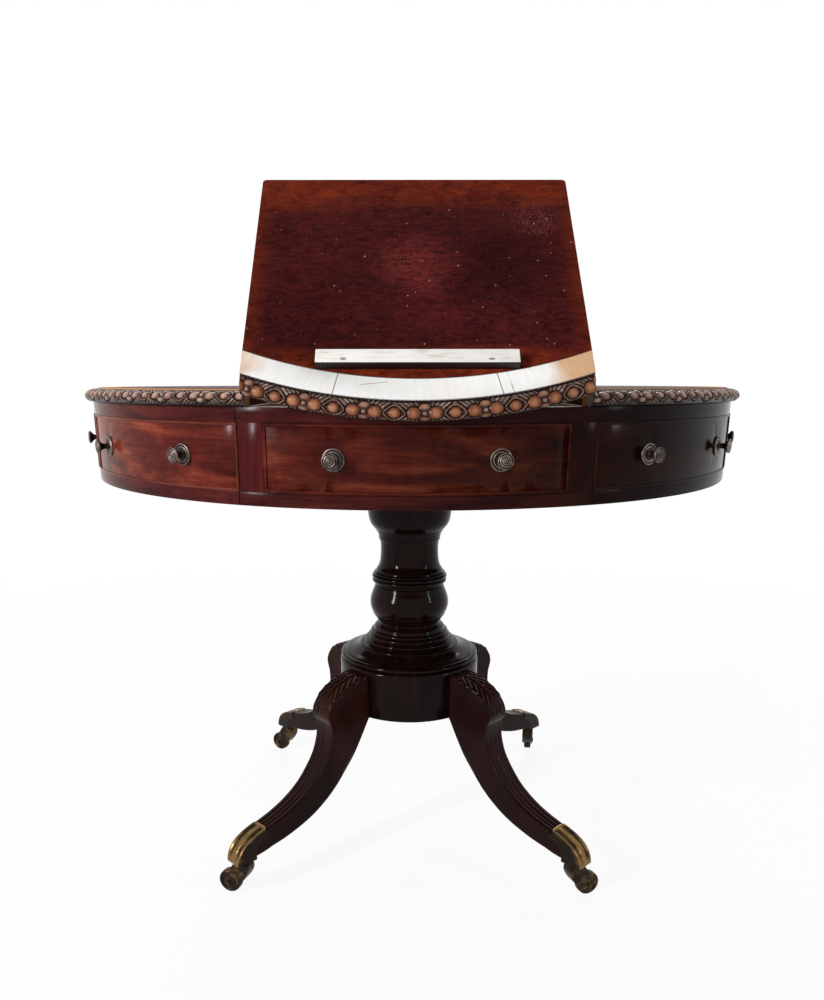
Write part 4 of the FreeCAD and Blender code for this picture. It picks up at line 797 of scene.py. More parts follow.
FIGURE_TONES = [(0.34, (0.034, 0.0055, 0.0040)), (0.47, (0.088, 0.0150, 0.0075)),
                (0.56, (0.140, 0.027, 0.0105)),
                (0.68, (0.250, 0.062, 0.0210))]
RAIL_TONES = [(0.36, (0.024, 0.0050, 0.0042)), (0.5, (0.064, 0.0115, 0.0082)), (0.66, (0.135, 0.029, 0.0150))]
STILE_TONES = [(0.36, (0.030, 0.0044, 0.0044)), (0.5, (0.070, 0.0098, 0.0084)),
               (0.66, (0.135, 0.023, 0.0160))]
# BEAD_TONES are lighter than the rails: a painted highlight along the beads.
BEAD_TONES = [(0.36, (0.060, 0.0150, 0.0080)), (0.5, (0.120, 0.030, 0.0140)), (0.66, (0.210, 0.066, 0.0280))]
figured_front = figured_veneer("figured_front", FIGURE_TONES)
rail_veneer = figured_veneer("rail_veneer", RAIL_TONES, figure=0.4, leaf_joint=True)
stile_veneer = figured_veneer("stile_veneer", STILE_TONES, figure=0.3, tall=True)
bead_mahogany = figured_veneer("bead_mahogany", BEAD_TONES, figure=0.2, polish=0.2)
lower_ring = turned_mesh("veneered_lower_rail", joined_outline(LOWER_RAIL_OUTLINE, 3)[:-1], STEPS_ROUND_RAIL)
new_piece("veneered_lower_rail", veneered(lower_ring), rail_veneer, "drum", "frieze_mahogany", "lower_rail")
for name, node, finish, edge, segments, shift in (
        ("veneered_upper_rail", "upper_rail", rail_veneer, 0.5, 2, 0.31),
        ("veneered_stiles", "frieze_stiles", stile_veneer, 0.25, 2, 0.13),
        ("figured_fixed_fronts", "fixed_fronts", figured_front, 0.3, 2, 0.77),
        ("rounded_front_beads", "fixed_front_beads", bead_mahogany, 1.0, 4, 0.2)):
    new_piece(name, veneered(eased_copy(node, edge, segments), shift), finish,
              "drum", "frieze_mahogany", node)

# Drawers: bowed fronts with the same figured veneer and a raised bead glued on round the edge.
# Their sides, backs and bottoms are thin plain boards, lapped and glued.
FIRST_SHIFT, SHIFT_BY_HEADING = 1.3, 0.01


def in_one_skin(mesh):
    """Take out the walls inside a front, where its bead is glued on, so that one closed skin is left."""
    shape = bmesh.new()
    shape.from_mesh(mesh)
    seams = {edge for edge in shape.edges if len(edge.link_faces) > 2}
    loop_of = {}
    for number, seam in enumerate(seams):
        waiting = [seam.verts[0]]
        while waiting:
            vertex = waiting.pop()
            if vertex in loop_of:
                continue
            loop_of[vertex] = number
            waiting += [edge.other_vert(vertex) for edge in vertex.link_edges if edge in seams]
    walls = [face for face in shape.faces if all(vertex in loop_of for vertex in face.verts)
             and len({loop_of[vertex] for vertex in face.verts}) > 1]
    bmesh.ops.delete(shape, geom=walls, context="FACES_ONLY")
    return into_mesh(shape, mesh)


for side, heading in DRAWER_HEADINGS.items():
    front = in_one_skin(eased_copy(f"{side}_drawer_face", 0))
    new_piece(f"{side}_figured_front", veneered(front, FIRST_SHIFT + heading * SHIFT_BY_HEADING, heading),
              figured_front, f"{side}_drawer", "frieze_mahogany", f"{side}_drawer_face")
dressed(board_deep, "front_drawer_box", "back_drawer_box")
dressed(board_across, "left_drawer_box", "right_drawer_box")

# Knobs: cast and turned brass gone dark, two to each front. A ringed head on a trumpet
# shaped stem stands on a round plate, and a threaded shank and nut hold it from inside.
KNOB_OUTLINE = [
    [(0, -23.6), (1.7, -23.6)],
    [(2.0, -23.3), (2.0, -23)],
    [(5.1, -23), (5.5, -22.6)],
    [(5.5, -20.05)],
    [(2.0, -20.05)],
    [(2.0, 0.05)],
    [(12.4, 0.05)],
    [(12.8, 0.5), (12.7, 1.3), (12.0, 2.1), (11.0, 2.3)],
    [(10.4, 1.7), (9.7, 1.5)],
    [(9.2, 2.1), (8.3, 2.5), (7.5, 2.2)],
    [(6.9, 1.7), (6.0, 1.8)],
    [(4.4, 2.5), (3.6, 4.2), (3.4, 6.4), (3.7, 8.6), (4.9, 10.8), (6.8, 12.7), (8.6, 13.9)],
    [(9.0, 14.6), (9.0, 15.8), (8.6, 16.7), (7.9, 17.0)],
    [(7.4, 16.4), (6.9, 16.3)],
    [(6.5, 17.0), (5.8, 17.4), (5.1, 17.1)],
    [(4.7, 16.6), (4.2, 16.5)],
    [(3.9, 17.1), (3.3, 17.4), (2.8, 17.2)],
    [(2.4, 16.9), (2.1, 17.1)],
    [(1.7, 17.8), (0.9, 18.0), (0, 18.0)],
]
KNOB_ANGLE, KNOB_HEIGHT, KNOB_CREASE, KNOB_LOOSE_TURN = 10.8, 687.5, 38, 6.2
STEPS_ROUND_KNOB = 40


def knobs(name, headings):
    """A pair of knobs on each front, as one mesh."""
    places, outwards = [], []
    for heading in headings:
        for side in (-1, 1):
            bearing = math.radians(heading + side * KNOB_ANGLE)
            way = Vector((math.cos(bearing), math.sin(bearing), 0))
            outwards.append(way)
            places.append((way * FRIEZE_RADIUS + Vector((0, 0, KNOB_HEIGHT))) * MM)
    return copies_of(knob, name, places, outwards, dark_bronze, KNOB_LOOSE_TURN)


def with_worn_ridges(mesh, outline):
    """Mark the ridges of a turned part, where hands have kept the metal bright."""
    line = np.array([tuple(place) for place in outline])
    ahead, behind = line[2:] - line[1:-1], line[1:-1] - line[:-2]
    turn = behind[:, 0] * ahead[:, 1] - ahead[:, 0] * behind[:, 1]
    turn = turn / (np.linalg.norm(ahead, axis=1) * np.linalg.norm(behind, axis=1))
    share = np.r_[0, np.clip(turn * 3, -1, 1), 0]
    places = np.array([tuple(vertex.co) for vertex in mesh.vertices]) / MM
    spots = np.stack([np.hypot(places[:, 0], places[:, 1]), places[:, 2]], 1)
    nearest = np.linalg.norm(spots[:, None] - line[None], axis=2).argmin(1)
    return marked(mesh, "worn", share[nearest])


dark_bronze = aged_metal("dark_bronze", (0.270, 0.205, 0.180), (0.022, 0.017, 0.015))
knob_line = joined_outline(KNOB_OUTLINE, 3)
knob = with_worn_ridges(turned_mesh("ringed_knob", knob_line, STEPS_ROUND_KNOB), knob_line)
new_piece("fixed_ringed_knobs", knobs("fixed_ringed_knobs", FIXED_HEADINGS), dark_bronze,
          "drum", "knob_metal",
          "fixed_front_knobs", crease=KNOB_CREASE)
for side, heading in DRAWER_HEADINGS.items():
    new_piece(f"{side}_ringed_knobs", knobs(f"{side}_ringed_knobs", [heading]), dark_bronze, f"{side}_drawer",
              "knob_metal", f"{side}_drawer_knobs", crease=KNOB_CREASE)

# Top: a round board veneered with dark red mahogany inside a crossband of paler wood,
# whose short pieces are laid with their grain outwards. A front section is left out for the slope.
CROSSBAND_INNER, CROSSBAND_MIDDLE, LINE_SOFTNESS = 0.4425, 0.457, 0.0004
WORN_SPOT, RED_CLOUD, DARK_CLOUD = (0.143, -0.186, 0.76), (0.008, -0.262, 0.76), (0.092, -0.262, 0.76)
BORDER_BACK, BORDER_FRONT, BORDER_SIDE = (-0.172, -0.140), (-0.395, -0.425), (0.165, 0.187)
CRACK_ALONG, CRACK_REACH, SPLIT_ANGLE = (-0.062, -0.030), (0.4555, 0.4480), 0.2135
FIELD_TONES = [(0.32, (0.0200, 0.0032, 0.0038)), (0.5, (0.0370, 0.0055, 0.0058)),
               (0.68, (0.0640, 0.0095, 0.0080))]
BAND_TONES = [(0.30, (0.300, 0.150, 0.068)), (0.5, (0.480, 0.260, 0.130)), (0.70, (0.640, 0.400, 0.230))]
WARM_TONES = [(0.38, (0.070, 0.0080, 0.0042)), (0.66, (0.240, 0.034, 0.0070))]
# PALE_TONES: painted reflection, the near-white middle of the slope's crossband.
PALE_TONES = [(0.36, (0.790, 0.765, 0.730)), (0.62, (0.860, 0.855, 0.845))]
CRACK_COLOR = (0.16, 0.085, 0.050)


def top_field(make, flat, slope_reflection_and_cracks):
    """Colour of the middle of the top, from its figure to its pale specks, and how scuffed it is."""
    bands = make.noise(make.scaled(flat, (0.30, 1, 1)), 52, 6, 0.72, 1.4)
    field = make.ramp(make.blend((bands, 0.5), (make.noise(flat, 7, 5, 0.65, 0.8), 0.5)), *FIELD_TONES)
    if slope_reflection_and_cracks:
        # Lighter warm bands at the back, the front and the sides of the slope's field.
        across, deep, _ = make.split(flat)
        wander = make.less(make.noise(make.scaled(flat, (0.5, 1, 1)), 14, 3), 0.5)
        wavy = make.plus(deep, make.times(wander, 0.05))
        back = make.times(make.range(wavy, *BORDER_BACK), 0.75)
        side = make.times(make.range(make.math("ABSOLUTE", across), *BORDER_SIDE), 0.5)
        glow = make.math("MAXIMUM", make.math("MAXIMUM", back, make.range(wavy, *BORDER_FRONT)), side)
        warm = make.ramp(make.noise(make.scaled(flat, (0.6, 1, 1)), 60, 6, 0.78, 0.6), *WARM_TONES)
        field = make.mix(glow, field, warm)
    red = make.times(make.range(make.noise(flat, 11, 8, 0.78, 0.9), 0.52, 0.74), 0.6)
    field = make.mix(red, field, (0.105, 0.0115, 0.0110))
    mottle = make.noise(make.scaled(flat, (0.45, 1, 1)), 170, 5, 0.75, 0.8)
    field = make.mix(make.range(mottle, 0.47, 0.72, 0.0, 0.55), field, (0.112, 0.0150, 0.0145))
    field = make.mix(make.range(mottle, 0.47, 0.30, 0.0, 0.75), field, (0.0090, 0.0016, 0.0020))
    cloud = make.times(make.range(make.distance(flat, RED_CLOUD), 0.062, 0.012),
                       make.range(mottle, 0.36, 0.60))
    field = make.mix(make.times(cloud, 0.7), field, (0.170, 0.026, 0.024))
    shade = make.range(make.distance(flat, DARK_CLOUD), 0.095, 0.020, 0.0, 0.62)
    field = make.mix(shade, field, (0.0120, 0.0022, 0.0030))
    rubbed = make.plus(make.distance(flat, WORN_SPOT), make.times(make.noise(flat, 30, 3), 0.03))
    scuffs = make.times(make.range(make.noise(flat, 420, 3, 0.7, 0.8), 0.50, 0.66),
                        make.range(rubbed, 0.030, 0.052, 1.0, 0.12))
    field = make.mix(make.times(scuffs, 0.6), field, (0.26, 0.085, 0.070))
    spots = make.add("ShaderNodeTexVoronoi", {"feature": "F1"}, Vector=flat, Scale=120).outputs
    chance = make.add("ShaderNodeSeparateColor", Color=spots["Color"]).outputs
    uneven = make.plus(spots["Distance"], make.times(make.noise(flat, 900, 2), 0.09))
    speck = make.times(make.math("LESS_THAN", uneven, make.range(chance[1], 0.0, 1.0, 0.045, 0.21)),
                       make.range(chance[0], 0.60, 0.95))
    return make.mix(make.times(speck, 0.65), field, (0.42, 0.24, 0.20)), scuffs


def top_band(make, flat, turn, reach, slope_reflection_and_cracks):
    """Colour of the crossband: short pieces with their grain outwards and a dark joint between them."""
    grain = make.add("ShaderNodeCombineXYZ", X=make.times(turn, CROSSBAND_MIDDLE), Y=make.times(reach, 0.16))
    streaks = make.noise(grain.outputs[0], 210, 4, 0.6, 0.5)
    tone = make.blend((streaks, 0.6), (make.noise(flat, 13, 3, 0.55, 0.5), 0.4))
    band = make.ramp(tone, *BAND_TONES)
    from_front = make.apart(turn, -math.pi / 2)
    across = make.split(flat)["X"]
    if slope_reflection_and_cracks:
        # Painted reflection: on the slope the middle of the crossband is painted near-white, with tan towards
        # its ends.
        ends = make.plus(from_front, make.times(make.noise(flat, 20, 3), 0.12),
                         make.range(across, 0.10, 0.14, 0.0, 0.08))
        tan = make.mix(0.45, band, (0.80, 0.54, 0.34))
        band = make.mix(make.range(ends, 0.44, 0.49), make.ramp(tone, *PALE_TONES), tan)
    pieces = make.times(make.plus(from_front, math.radians(0.4)), 8 / math.pi)
    joint = make.range(make.apart(make.math("FRACT", pieces), 0.5), 0.0018, 0.0044, 1.0, 0.0)
    band = make.mix(make.times(joint, 0.8), band, (0.10, 0.035, 0.018))
    if slope_reflection_and_cracks:
        along = make.range(across, *CRACK_ALONG)
        off_crack = make.apart(reach, make.range(along, 0, 1, *CRACK_REACH))
        inside = make.range(make.apart(along, 0.5), 0.42, 0.5, 1.0, 0.0)
        crack = make.times(make.range(off_crack, 0.0002, 0.0006, 0.75, 0.0), inside)
        off_split = make.plus(make.apart(make.plus(turn, math.pi / 2), SPLIT_ANGLE),
                              make.times(make.noise(flat, 90, 2), 0.003))
        band = make.mix(crack, band, CRACK_COLOR)
        band = make.mix(make.range(off_split, 0.0016, 0.0026, 0.7, 0.0), band, CRACK_COLOR)
    return band


def top_finish(name, slope_reflection_and_cracks):
    """Polished veneers of the top, laid out from where each point lies when the top is closed."""
    make = Finish(name)
    flat = make.kept("flat")
    across, deep, _ = make.split(flat)
    reach, turn = make.diagonal(across, deep), make.math("ARCTAN2", deep, across)
    field, scuffs = top_field(make, flat, slope_reflection_and_cracks)
    in_band = make.range(reach, CROSSBAND_INNER - LINE_SOFTNESS, CROSSBAND_INNER + LINE_SOFTNESS)
    seam = make.range(make.apart(reach, CROSSBAND_INNER), LINE_SOFTNESS, 0.0011, 1.0, 0.0)
    color = make.mix(in_band, field, top_band(make, flat, turn, reach, slope_reflection_and_cracks))
    color = make.mix(make.times(seam, 0.75), color, (0.020, 0.006, 0.004))
    make.bump(make.noise(flat, 10, 2), 0.0003, 0.2)
    rough = make.plus(make.range(make.noise(flat, 40, 4, 0.6), 0.3, 0.75, 0.24, 0.40),
                      make.times(scuffs, 0.25), make.times(in_band, 0.5))
    return make.done(color, rough, Specular_IOR_Level=0.005)


def laid_flat(mesh, back=Matrix.Identity(4)):
    """Keep where each point lies when the top is closed."""
    return marked(mesh, "flat", [tuple(back @ vertex.co) for vertex in mesh.vertices])


veneered_top = top_finish("veneered_top", False)
new_piece("veneered_table_top", laid_flat(eased_copy("table_top", 0.6)), veneered_top, "drum", "top_mahogany",
          "table_top")

# Carved rim: a bolection moulding of mahogany round the top, carved with flowers and bosses
# inside two interlaced ribbons, forty-eight times round. It is glued to the edge of the board.
CELL_ANGLE, FIRST_FLOWER = 7.5, -90 + 0.85
PROFILE = [(472.2, 759.25), (475.5, 759.1), (479.5, 758.5), (483.6, 757.0), (487.3, 754.4), (489.6, 751.2),
           (489.9, 748.4), (488.8, 745.4), (487.2, 743.4), (485.5, 742.1)]
RIM_BACK = [(478.5, 742.1), (472.1, 742.1), (472.1, 750.0)]
CELL_COLUMNS, CELL_ROWS = 56, 35
HALF_CELL, FLOWER_TO_BOSS, CARVED_MIDDLE, CARVED_DEPTH = 31.75, 19.7, 15.2, 3.9
RIBBON_AT_FLOWER, RIBBON_AT_BOSS, RIBBON_HALF, RIBBON_EDGE, RIBBON_CROWN = 11.6, 8.8, 1.5, 2.8, 0.6
GROOVE_FLOOR, RIBS_FROM, RIBS_HEIGHT, GROUND_HEIGHT = 0.3, 2.0, 2.9, 1.0
GROOVE_OUTER = 2.4
SIDE_PETAL_AT, END_PETAL_AT, SWELL_EDGE, FAR_AWAY = 11.5, 8.1, 0.4, -9.0
TOP_FILLET, LOW_FILLET, TOP_LEDGE, LEDGE_HEIGHT, FILLET_HEIGHT, EDGE_FADE = 2.4, 1.2, 1.0, 2.2, 0.4, 2.0
RIB_PITCH, RIB_SLANT = 5.4, 0.95
RIM_GAP, RIM_CELLS, RIM_FIRST = 187.8, 43, 3
FRONT_REACH, SAW_NEARNESS, CELL_WELD = 0.3, 1e-7, 0.01 * MM


def carved_height(x, y):
    """Height of the carving in one cell, distance from a ribbon, closeness to a swelling and its warmth."""
    reach, rise = abs(x), abs(y)
    if reach < FLOWER_TO_BOSS:
        line = RIBBON_AT_FLOWER * math.cos(math.pi * reach / (2 * FLOWER_TO_BOSS))
    else:
        line = RIBBON_AT_BOSS * math.sin(math.pi * (reach - FLOWER_TO_BOSS)
                                         / (2 * (HALF_CELL - FLOWER_TO_BOSS)))
    off = rise - line
    height = RIBS_HEIGHT if off > RIBS_FROM else GROUND_HEIGHT
    if abs(off) < RIBBON_HALF:
        height = RIBBON_EDGE + RIBBON_CROWN * math.sqrt(1 - (off / RIBBON_HALF) ** 2)
    elif abs(off) < GROOVE_OUTER:
        height = GROOVE_FLOOR
    nearest, warm = FAR_AWAY, 1.0
    side_petal = (reach - SIDE_PETAL_AT, y, 8.3, 9.0, 3.9, 1.0)
    end_petal = (x, rise - END_PETAL_AT, 7.0, 5.2, 3.5, 0.45)
    boss = (reach - HALF_CELL, y, 7.4, 7.6, 3.9, 0.9)
    button = (x, y, 3.3, 3.3, 3.9, 0.0)
    for across, along, wide, tall, high, warmth in (side_petal, end_petal, boss, button):
        close = 1 - (across / wide) ** 2 - (along / tall) ** 2
        if close > nearest:
            nearest, warm = close, warmth
        if close > 0:
            height = max(high * math.sqrt(close), SWELL_EDGE)
    return height, off, nearest, warm


def carved_cell(name, back):
    """One carved length of the moulding as a tube that is open at both ends."""
    line = flowing(PROFILE, 10)
    shares = np.linspace(0, 1, CELL_ROWS)
    places, length = resampled(line, shares)
    ahead = resampled(line, np.minimum(shares + 0.01, 1))[0]
    slopes = ahead - resampled(line, np.maximum(shares - 0.01, 0))[0]
    outwards = np.stack([-slopes[:, 1], slopes[:, 0]], 1) / np.linalg.norm(slopes, axis=1)[:, None]
    shape = bmesh.new()
    lay_key = shape.verts.layers.float_vector.new("lay")
    swell_key, warm_key, plain_key = [shape.verts.layers.float.new(key) for key in ("swell", "warm", "plain")]
    columns = []
    for share in np.linspace(0, 1, CELL_COLUMNS + 1):
        angle = math.radians(CELL_ANGLE * (share - 0.5))
        x = (share * 2 - 1) * HALF_CELL
        ring = []

        def put(radius, height, plain):
            vertex = shape.verts.new((radius * math.cos(angle) * MM, radius * math.sin(angle) * MM,
                                      height * MM))
            vertex[plain_key] = plain
            ring.append(vertex)
            return vertex

        for (radius, height), (out, up), along in zip(places, outwards, shares * length):
            y = along - CARVED_MIDDLE
            rise, off, swell, warm = carved_height(x, y)
            plain = along < TOP_FILLET or along > length - LOW_FILLET
            if plain:
                rise = FILLET_HEIGHT if along > TOP_LEDGE else LEDGE_HEIGHT
            edge = max(min(along / EDGE_FADE, (length - along) / EDGE_FADE, 1), 0)
            sink = (rise - CARVED_DEPTH) * (0.25 + 0.75 * edge)
            vertex = put(radius + out * sink, height + up * sink, float(plain))
            vertex[lay_key] = (abs(x), y, off)
            vertex[swell_key], vertex[warm_key] = swell, warm
        for radius, height in back:
            put(radius, height, 1.0)
        columns.append(ring)
    skin(shape, columns)
    return into_mesh(shape, name)


def ring_tree():
    """Tree that repeats one carved cell round the table and joins the cells up."""
    make, given = new_tree("cells_round_the_rim",
                           {"Cell": "Geometry", "First angle": "Float", "Cell angle": "Float", "Cells": "Int",
                            "Finish": "Material"}, "Rim")
    middles = make.add("GeometryNodeMeshLine", {"mode": "OFFSET"}, Count=given["Cells"], Offset=(0, 0, 0))
    number = make.add("GeometryNodeInputIndex").outputs[0]
    angle = make.plus(make.times(number, given["Cell angle"]), given["First angle"])
    turn = make.add("ShaderNodeCombineXYZ", Z=angle).outputs[0]
    copies = make.add("GeometryNodeInstanceOnPoints", Points=middles.outputs[0],
                      Instance=given["Cell"], Rotation=turn)
    return finished_tree(make, copies.outputs[0], given["Finish"], CELL_WELD)


def cut_ends(mesh, reach, outside):
    """Saw a moulding square at both sides of the slope, keep its outer or its inner run and close the cuts."""
    shape = bmesh.new()
    shape.from_mesh(mesh)
    for side in (-1, 1):
        place, way = Vector((side * reach * MM, 0, 0)), Vector((-side if outside else side, 0, 0))
        everything = shape.verts[:] + shape.edges[:] + shape.faces[:]
        cut = bmesh.ops.bisect_plane(shape, geom=everything, plane_co=place, plane_no=way,
                                     dist=SAW_NEARNESS)["geom_cut"]
        drop = [vertex for vertex in shape.verts if (vertex.co - place).dot(way) > SAME_POINT
                and vertex.co.y < 0 < vertex.co.x * side < FRONT_REACH]
        bmesh.ops.delete(shape, geom=drop, context="VERTS")
        edges = [item for item in cut
                 if isinstance(item, bmesh.types.BMEdge) and item.is_valid and item.is_boundary]
        bmesh.ops.triangle_fill(shape, edges=edges, use_beauty=True)
    loose = [vertex for vertex in shape.verts if not vertex.link_faces]
    bmesh.ops.delete(shape, geom=loose, context="VERTS")
    return into_mesh(shape, mesh)


def carved_finish(name, rubbed, pale):
    """Carved mahogany with painted light and shade: orange flowers lit at their crowns and shaded at their
    feet, pale ribs partly a painted highlight, grey painted highlights on the swellings, and painted shade in
    the hollows, on the fillets and towards the foot.
    """
    make = Finish(name)
    place = make.place()
    swell, warm, plain = [make.kept(key, "Fac") for key in ("swell", "warm", "plain")]
    along, across, off = make.split(make.kept("lay"))
    grain = make.noise(make.scaled(place, (1, 1, 0.5)), 420, 4, 0.6, 0.4)
    wear = make.blend((grain, 0.5), (make.noise(place, 70, 3, 0.6), 0.5))
    slant = make.times(make.less(HALF_CELL, along), RIB_SLANT)
    rib_place = make.plus(make.math("ABSOLUTE", across), slant, make.times(make.noise(place, 110, 2), 2.4))
    rib = make.math("DIVIDE", make.math("PINGPONG", rib_place, RIB_PITCH / 2), RIB_PITCH / 2)
    ribs = make.times(make.range(rib, 0.22, 0.62), make.range(off, 1.9, 2.3))
    lit = make.range(make.noise(place, 150, 2, 0.5, 0.5), 0.36, 0.60, 0.30, 1.0)
    # Painted shade: the ground of the carving between ribs, ribbons and swellings is near black.
    ground = make.ramp(wear, (0.35, (0.0060, 0.0028, 0.0022)), (0.65, (0.022, 0.0100, 0.0070)))
    # The pale crest tones of the ribs are partly the wood and partly a painted highlight; lit varies them at
    # random.
    crest = make.ramp(wear, (0.35, (0.150, 0.085, 0.060)), (0.52, (0.300, 0.190, 0.145)),
                      (0.66, (0.480, 0.360, 0.300)))
    color = make.mix(make.times(ribs, lit), ground, crest)
    ribbon = make.ramp(wear, (0.35, (0.090, 0.046, 0.033)), (0.65, (0.250, 0.150, 0.112)))
    color = make.mix(make.range(make.math("ABSOLUTE", off), 1.0, 1.5, 1.0, 0.0), color, ribbon)
    inside = make.ramp(wear, (0.35, (0.030, 0.0150, 0.0110)), (0.65, (0.115, 0.064, 0.048)))
    color = make.mix(make.range(off, -2.4, -1.7, 1.0, 0.0), color, inside)
    # Painted shade: a dark ring round the foot of each swelling.
    color = make.mix(make.range(swell, -0.15, -0.04), color, (0.0080, 0.0035, 0.0028))
    # Painted light and shade: each swelling is lighter towards its crown and darker at its foot, and the pale
    # end of the cool colour is a painted grey highlight.
    high = make.plus(swell, make.times(make.less(wear, 0.5), 1.2))
    orange = make.ramp(high, (0.02, (0.024, 0.0085, 0.0052)), (0.26, (0.100, 0.030, 0.0145)),
                       (0.68, (0.180, 0.057, 0.0240)), (1.0, (0.330, 0.140, 0.0700)))
    cool = make.ramp(high, (0.05, (0.026, 0.0130, 0.0100)), (0.5, (0.112, 0.060, 0.043)), (1.0, pale))
    # The rubbed share sets how much orange shows over the cool colour with its painted grey highlight.
    color = make.mix(make.range(swell, 0.0, 0.12), color, make.mix(make.times(warm, rubbed), cool, orange))
    # Painted shade: the plain fillets at the top and the foot of the moulding are near black.
    color = make.mix(plain, color, (0.012, 0.0060, 0.0050))
    # Painted shade: the carving darkens towards the foot of the moulding.
    color = make.dimmed(color, make.range(across, 5.5, 13.0, 1.0, 0.22))
    make.bump(make.plus(make.times(ribs, 1.6), grain), 0.0006, 0.6)
    return make.done(color, make.range(grain, 0.3, 0.7, 0.22, 0.40), Specular_IOR_Level=0.16)


def moulding(name, back, first, cells, finish, reach, outside):
    """A run of carved cells, sawn off where it meets the slope or the rim."""
    mesh = made_by(CELLS_ROUND, carved_cell(name + "_cell", back), name,
                   first_angle=math.radians(FIRST_FLOWER + CELL_ANGLE * first),
                   cell_angle=math.radians(CELL_ANGLE), cells=cells, finish=finish)
    return cut_ends(mesh, reach, outside)


CELLS_ROUND = ring_tree()
# The lip and the rim differ in how much painted grey highlight their swellings carry.
carved_mahogany = carved_finish("carved_mahogany", 1.0, (0.290, 0.180, 0.135))
dulled_mahogany = carved_finish("dulled_mahogany", 0.35, (0.460, 0.330, 0.270))
rim = moulding("carved_rim_moulding", RIM_BACK, RIM_FIRST, RIM_CELLS, dulled_mahogany, RIM_GAP, True)
new_piece("carved_rim_moulding", rim, dulled_mahogany, "drum", "frieze_mahogany", "carved_rim", crease=55)

# Reading slope: the front section of the top, hinged behind its carved lip and lifted
# at the back on a strut. It is veneered and banded like the rest, and worn by books.
TILT, TILT_AXIS = math.radians(45.2), Vector((0, -0.467, 0.7385))
tilted = Matrix.Translation(TILT_AXIS) @ Matrix.Rotation(TILT, 4, "X") @ Matrix.Translation(-TILT_AXIS)
CORNER_RADIUS, CORNER_HEIGHT = 5.0, 5.0
LIP_BACK = [(483.6, 742.4), (482.8, 745.2), (477.6, 749.6), (472.3, 753.9)]
LIP_HALF_WIDTH, LIP_CELLS, LIP_FIRST = 187.2, 7, -3


def with_round_corners(source):
    """Copy of the slope with its two far corners rounded, where it meets the fixed top when closed."""
    shape = without_flat_edges(source, tilted.inverted(), flat=1)
    far = max(vertex.co.y for vertex in shape.verts)
    wide = max(vertex.co.x for vertex in shape.verts)
    corners = [edge for edge in shape.edges
               if all(abs(end.co.y - far) < MM and abs(end.co.x) > wide - MM for end in edge.verts)
               and abs(edge.verts[0].co.z - edge.verts[1].co.z) > CORNER_HEIGHT * MM]
    bmesh.ops.bevel(shape, geom=corners, offset=CORNER_RADIUS * MM, offset_type="OFFSET",
                    segments=6, profile=0.5,
                    affect="EDGES")
    bmesh.ops.triangulate(shape, faces=[face for face in shape.faces if len(face.verts) > 4])
    return into_mesh(shape, "worn_reading_slope", tilted)


slope = with_round_corners(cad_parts["slope_board"].data)
# The slope's finish adds a painted reflection: the middle of its crossband is painted near-white.
worn_slope_painted_reflection = top_finish("worn_slope_veneer", True)
new_piece("worn_reading_slope", laid_flat(slope, tilted.inverted()), worn_slope_painted_reflection, "slope", "top_mahogany",
          "slope_board")
lip = moulding("carved_slope_lip", LIP_BACK, LIP_FIRST, LIP_CELLS, carved_mahogany, LIP_HALF_WIDTH, False)
lip.transform(tilted)
new_piece("carved_slope_lip", lip, carved_mahogany, "slope", "frieze_mahogany", "slope_lip", crease=55)
# Painted shade: the hinge and bracket brass is darkened, where it sits in shadow at the ends of the lip and
# under the slope.
dull_brass = aged_metal("dull_brass", (0.090, 0.052, 0.021), (0.010, 0.007, 0.005), 0.36)
dressed(dull_brass, "slope_hinge_leaves", "slope_hinge_plates", "slope_hinge_pins", "strut_brackets")

# Book rest: a narrow bar that slides up out of its slot in the slope on two turned pegs.
# Its face is painted pale as a painted reflection, and its other faces are painted dark as painted shade.
PEG_REACH, REST_MIDDLE, PEG_HALF = 0.078, -0.4247, 0.0046
# REST_TONES: near-white painted reflection on the face of the rest.
REST_TONES = [(0.34, (0.60, 0.53, 0.46)), (0.46, (0.79, 0.76, 0.72)), (0.64, (0.86, 0.85, 0.83))]


def rest_finish():
    """Pale face as a painted reflection, with a stained ring where each peg comes through, and painted shade
    on the other faces.
    """
    make = Finish("bleached_rest")
    place = make.place()
    streaks = make.noise(make.scaled(place, (0.07, 1, 1)), 420, 4, 0.6, 0.4)
    stains = make.noise(make.scaled(place, (0.4, 1, 1)), 90, 4, 0.65, 0.6)
    pale = make.ramp(make.blend((streaks, 0.5), (stains, 0.5)), *REST_TONES)
    # Painted shade for every face but the one that looks up the slope.
    dark = make.ramp(streaks, (0.3, (0.006, 0.003, 0.003)), (0.7, (0.020, 0.008, 0.006)))
    across, deep, _ = make.split(make.kept("flat"))
    off_peg = make.diagonal(make.less(make.math("ABSOLUTE", across), PEG_REACH),
                            make.times(make.less(deep, REST_MIDDLE), 1.9))
    off_peg = make.plus(off_peg, make.times(make.noise(place, 700, 3), 0.004))
    mark = make.range(off_peg, PEG_HALF, 0.0060, 1, 0)
    color = make.mix(make.times(mark, 0.8), pale, (0.13, 0.09, 0.07))
    make.bump(streaks, 0.0002, 0.3)
    return make.done(make.mix(make.kept("face_share", "Fac"), dark, color),
                     make.range(stains, 0.3, 0.7, 0.35, 0.5), Specular_IOR_Level=0.3)


def faced(mesh, way):
    """Mark the faces that look one way, so that they take the painted reflection and the rest the painted
    shade.
    """
    facing = [float(face.normal.dot(way) > 0.6) for face in mesh.polygons for _ in face.loop_indices]
    return marked(mesh, "face_share", facing, "CORNER")


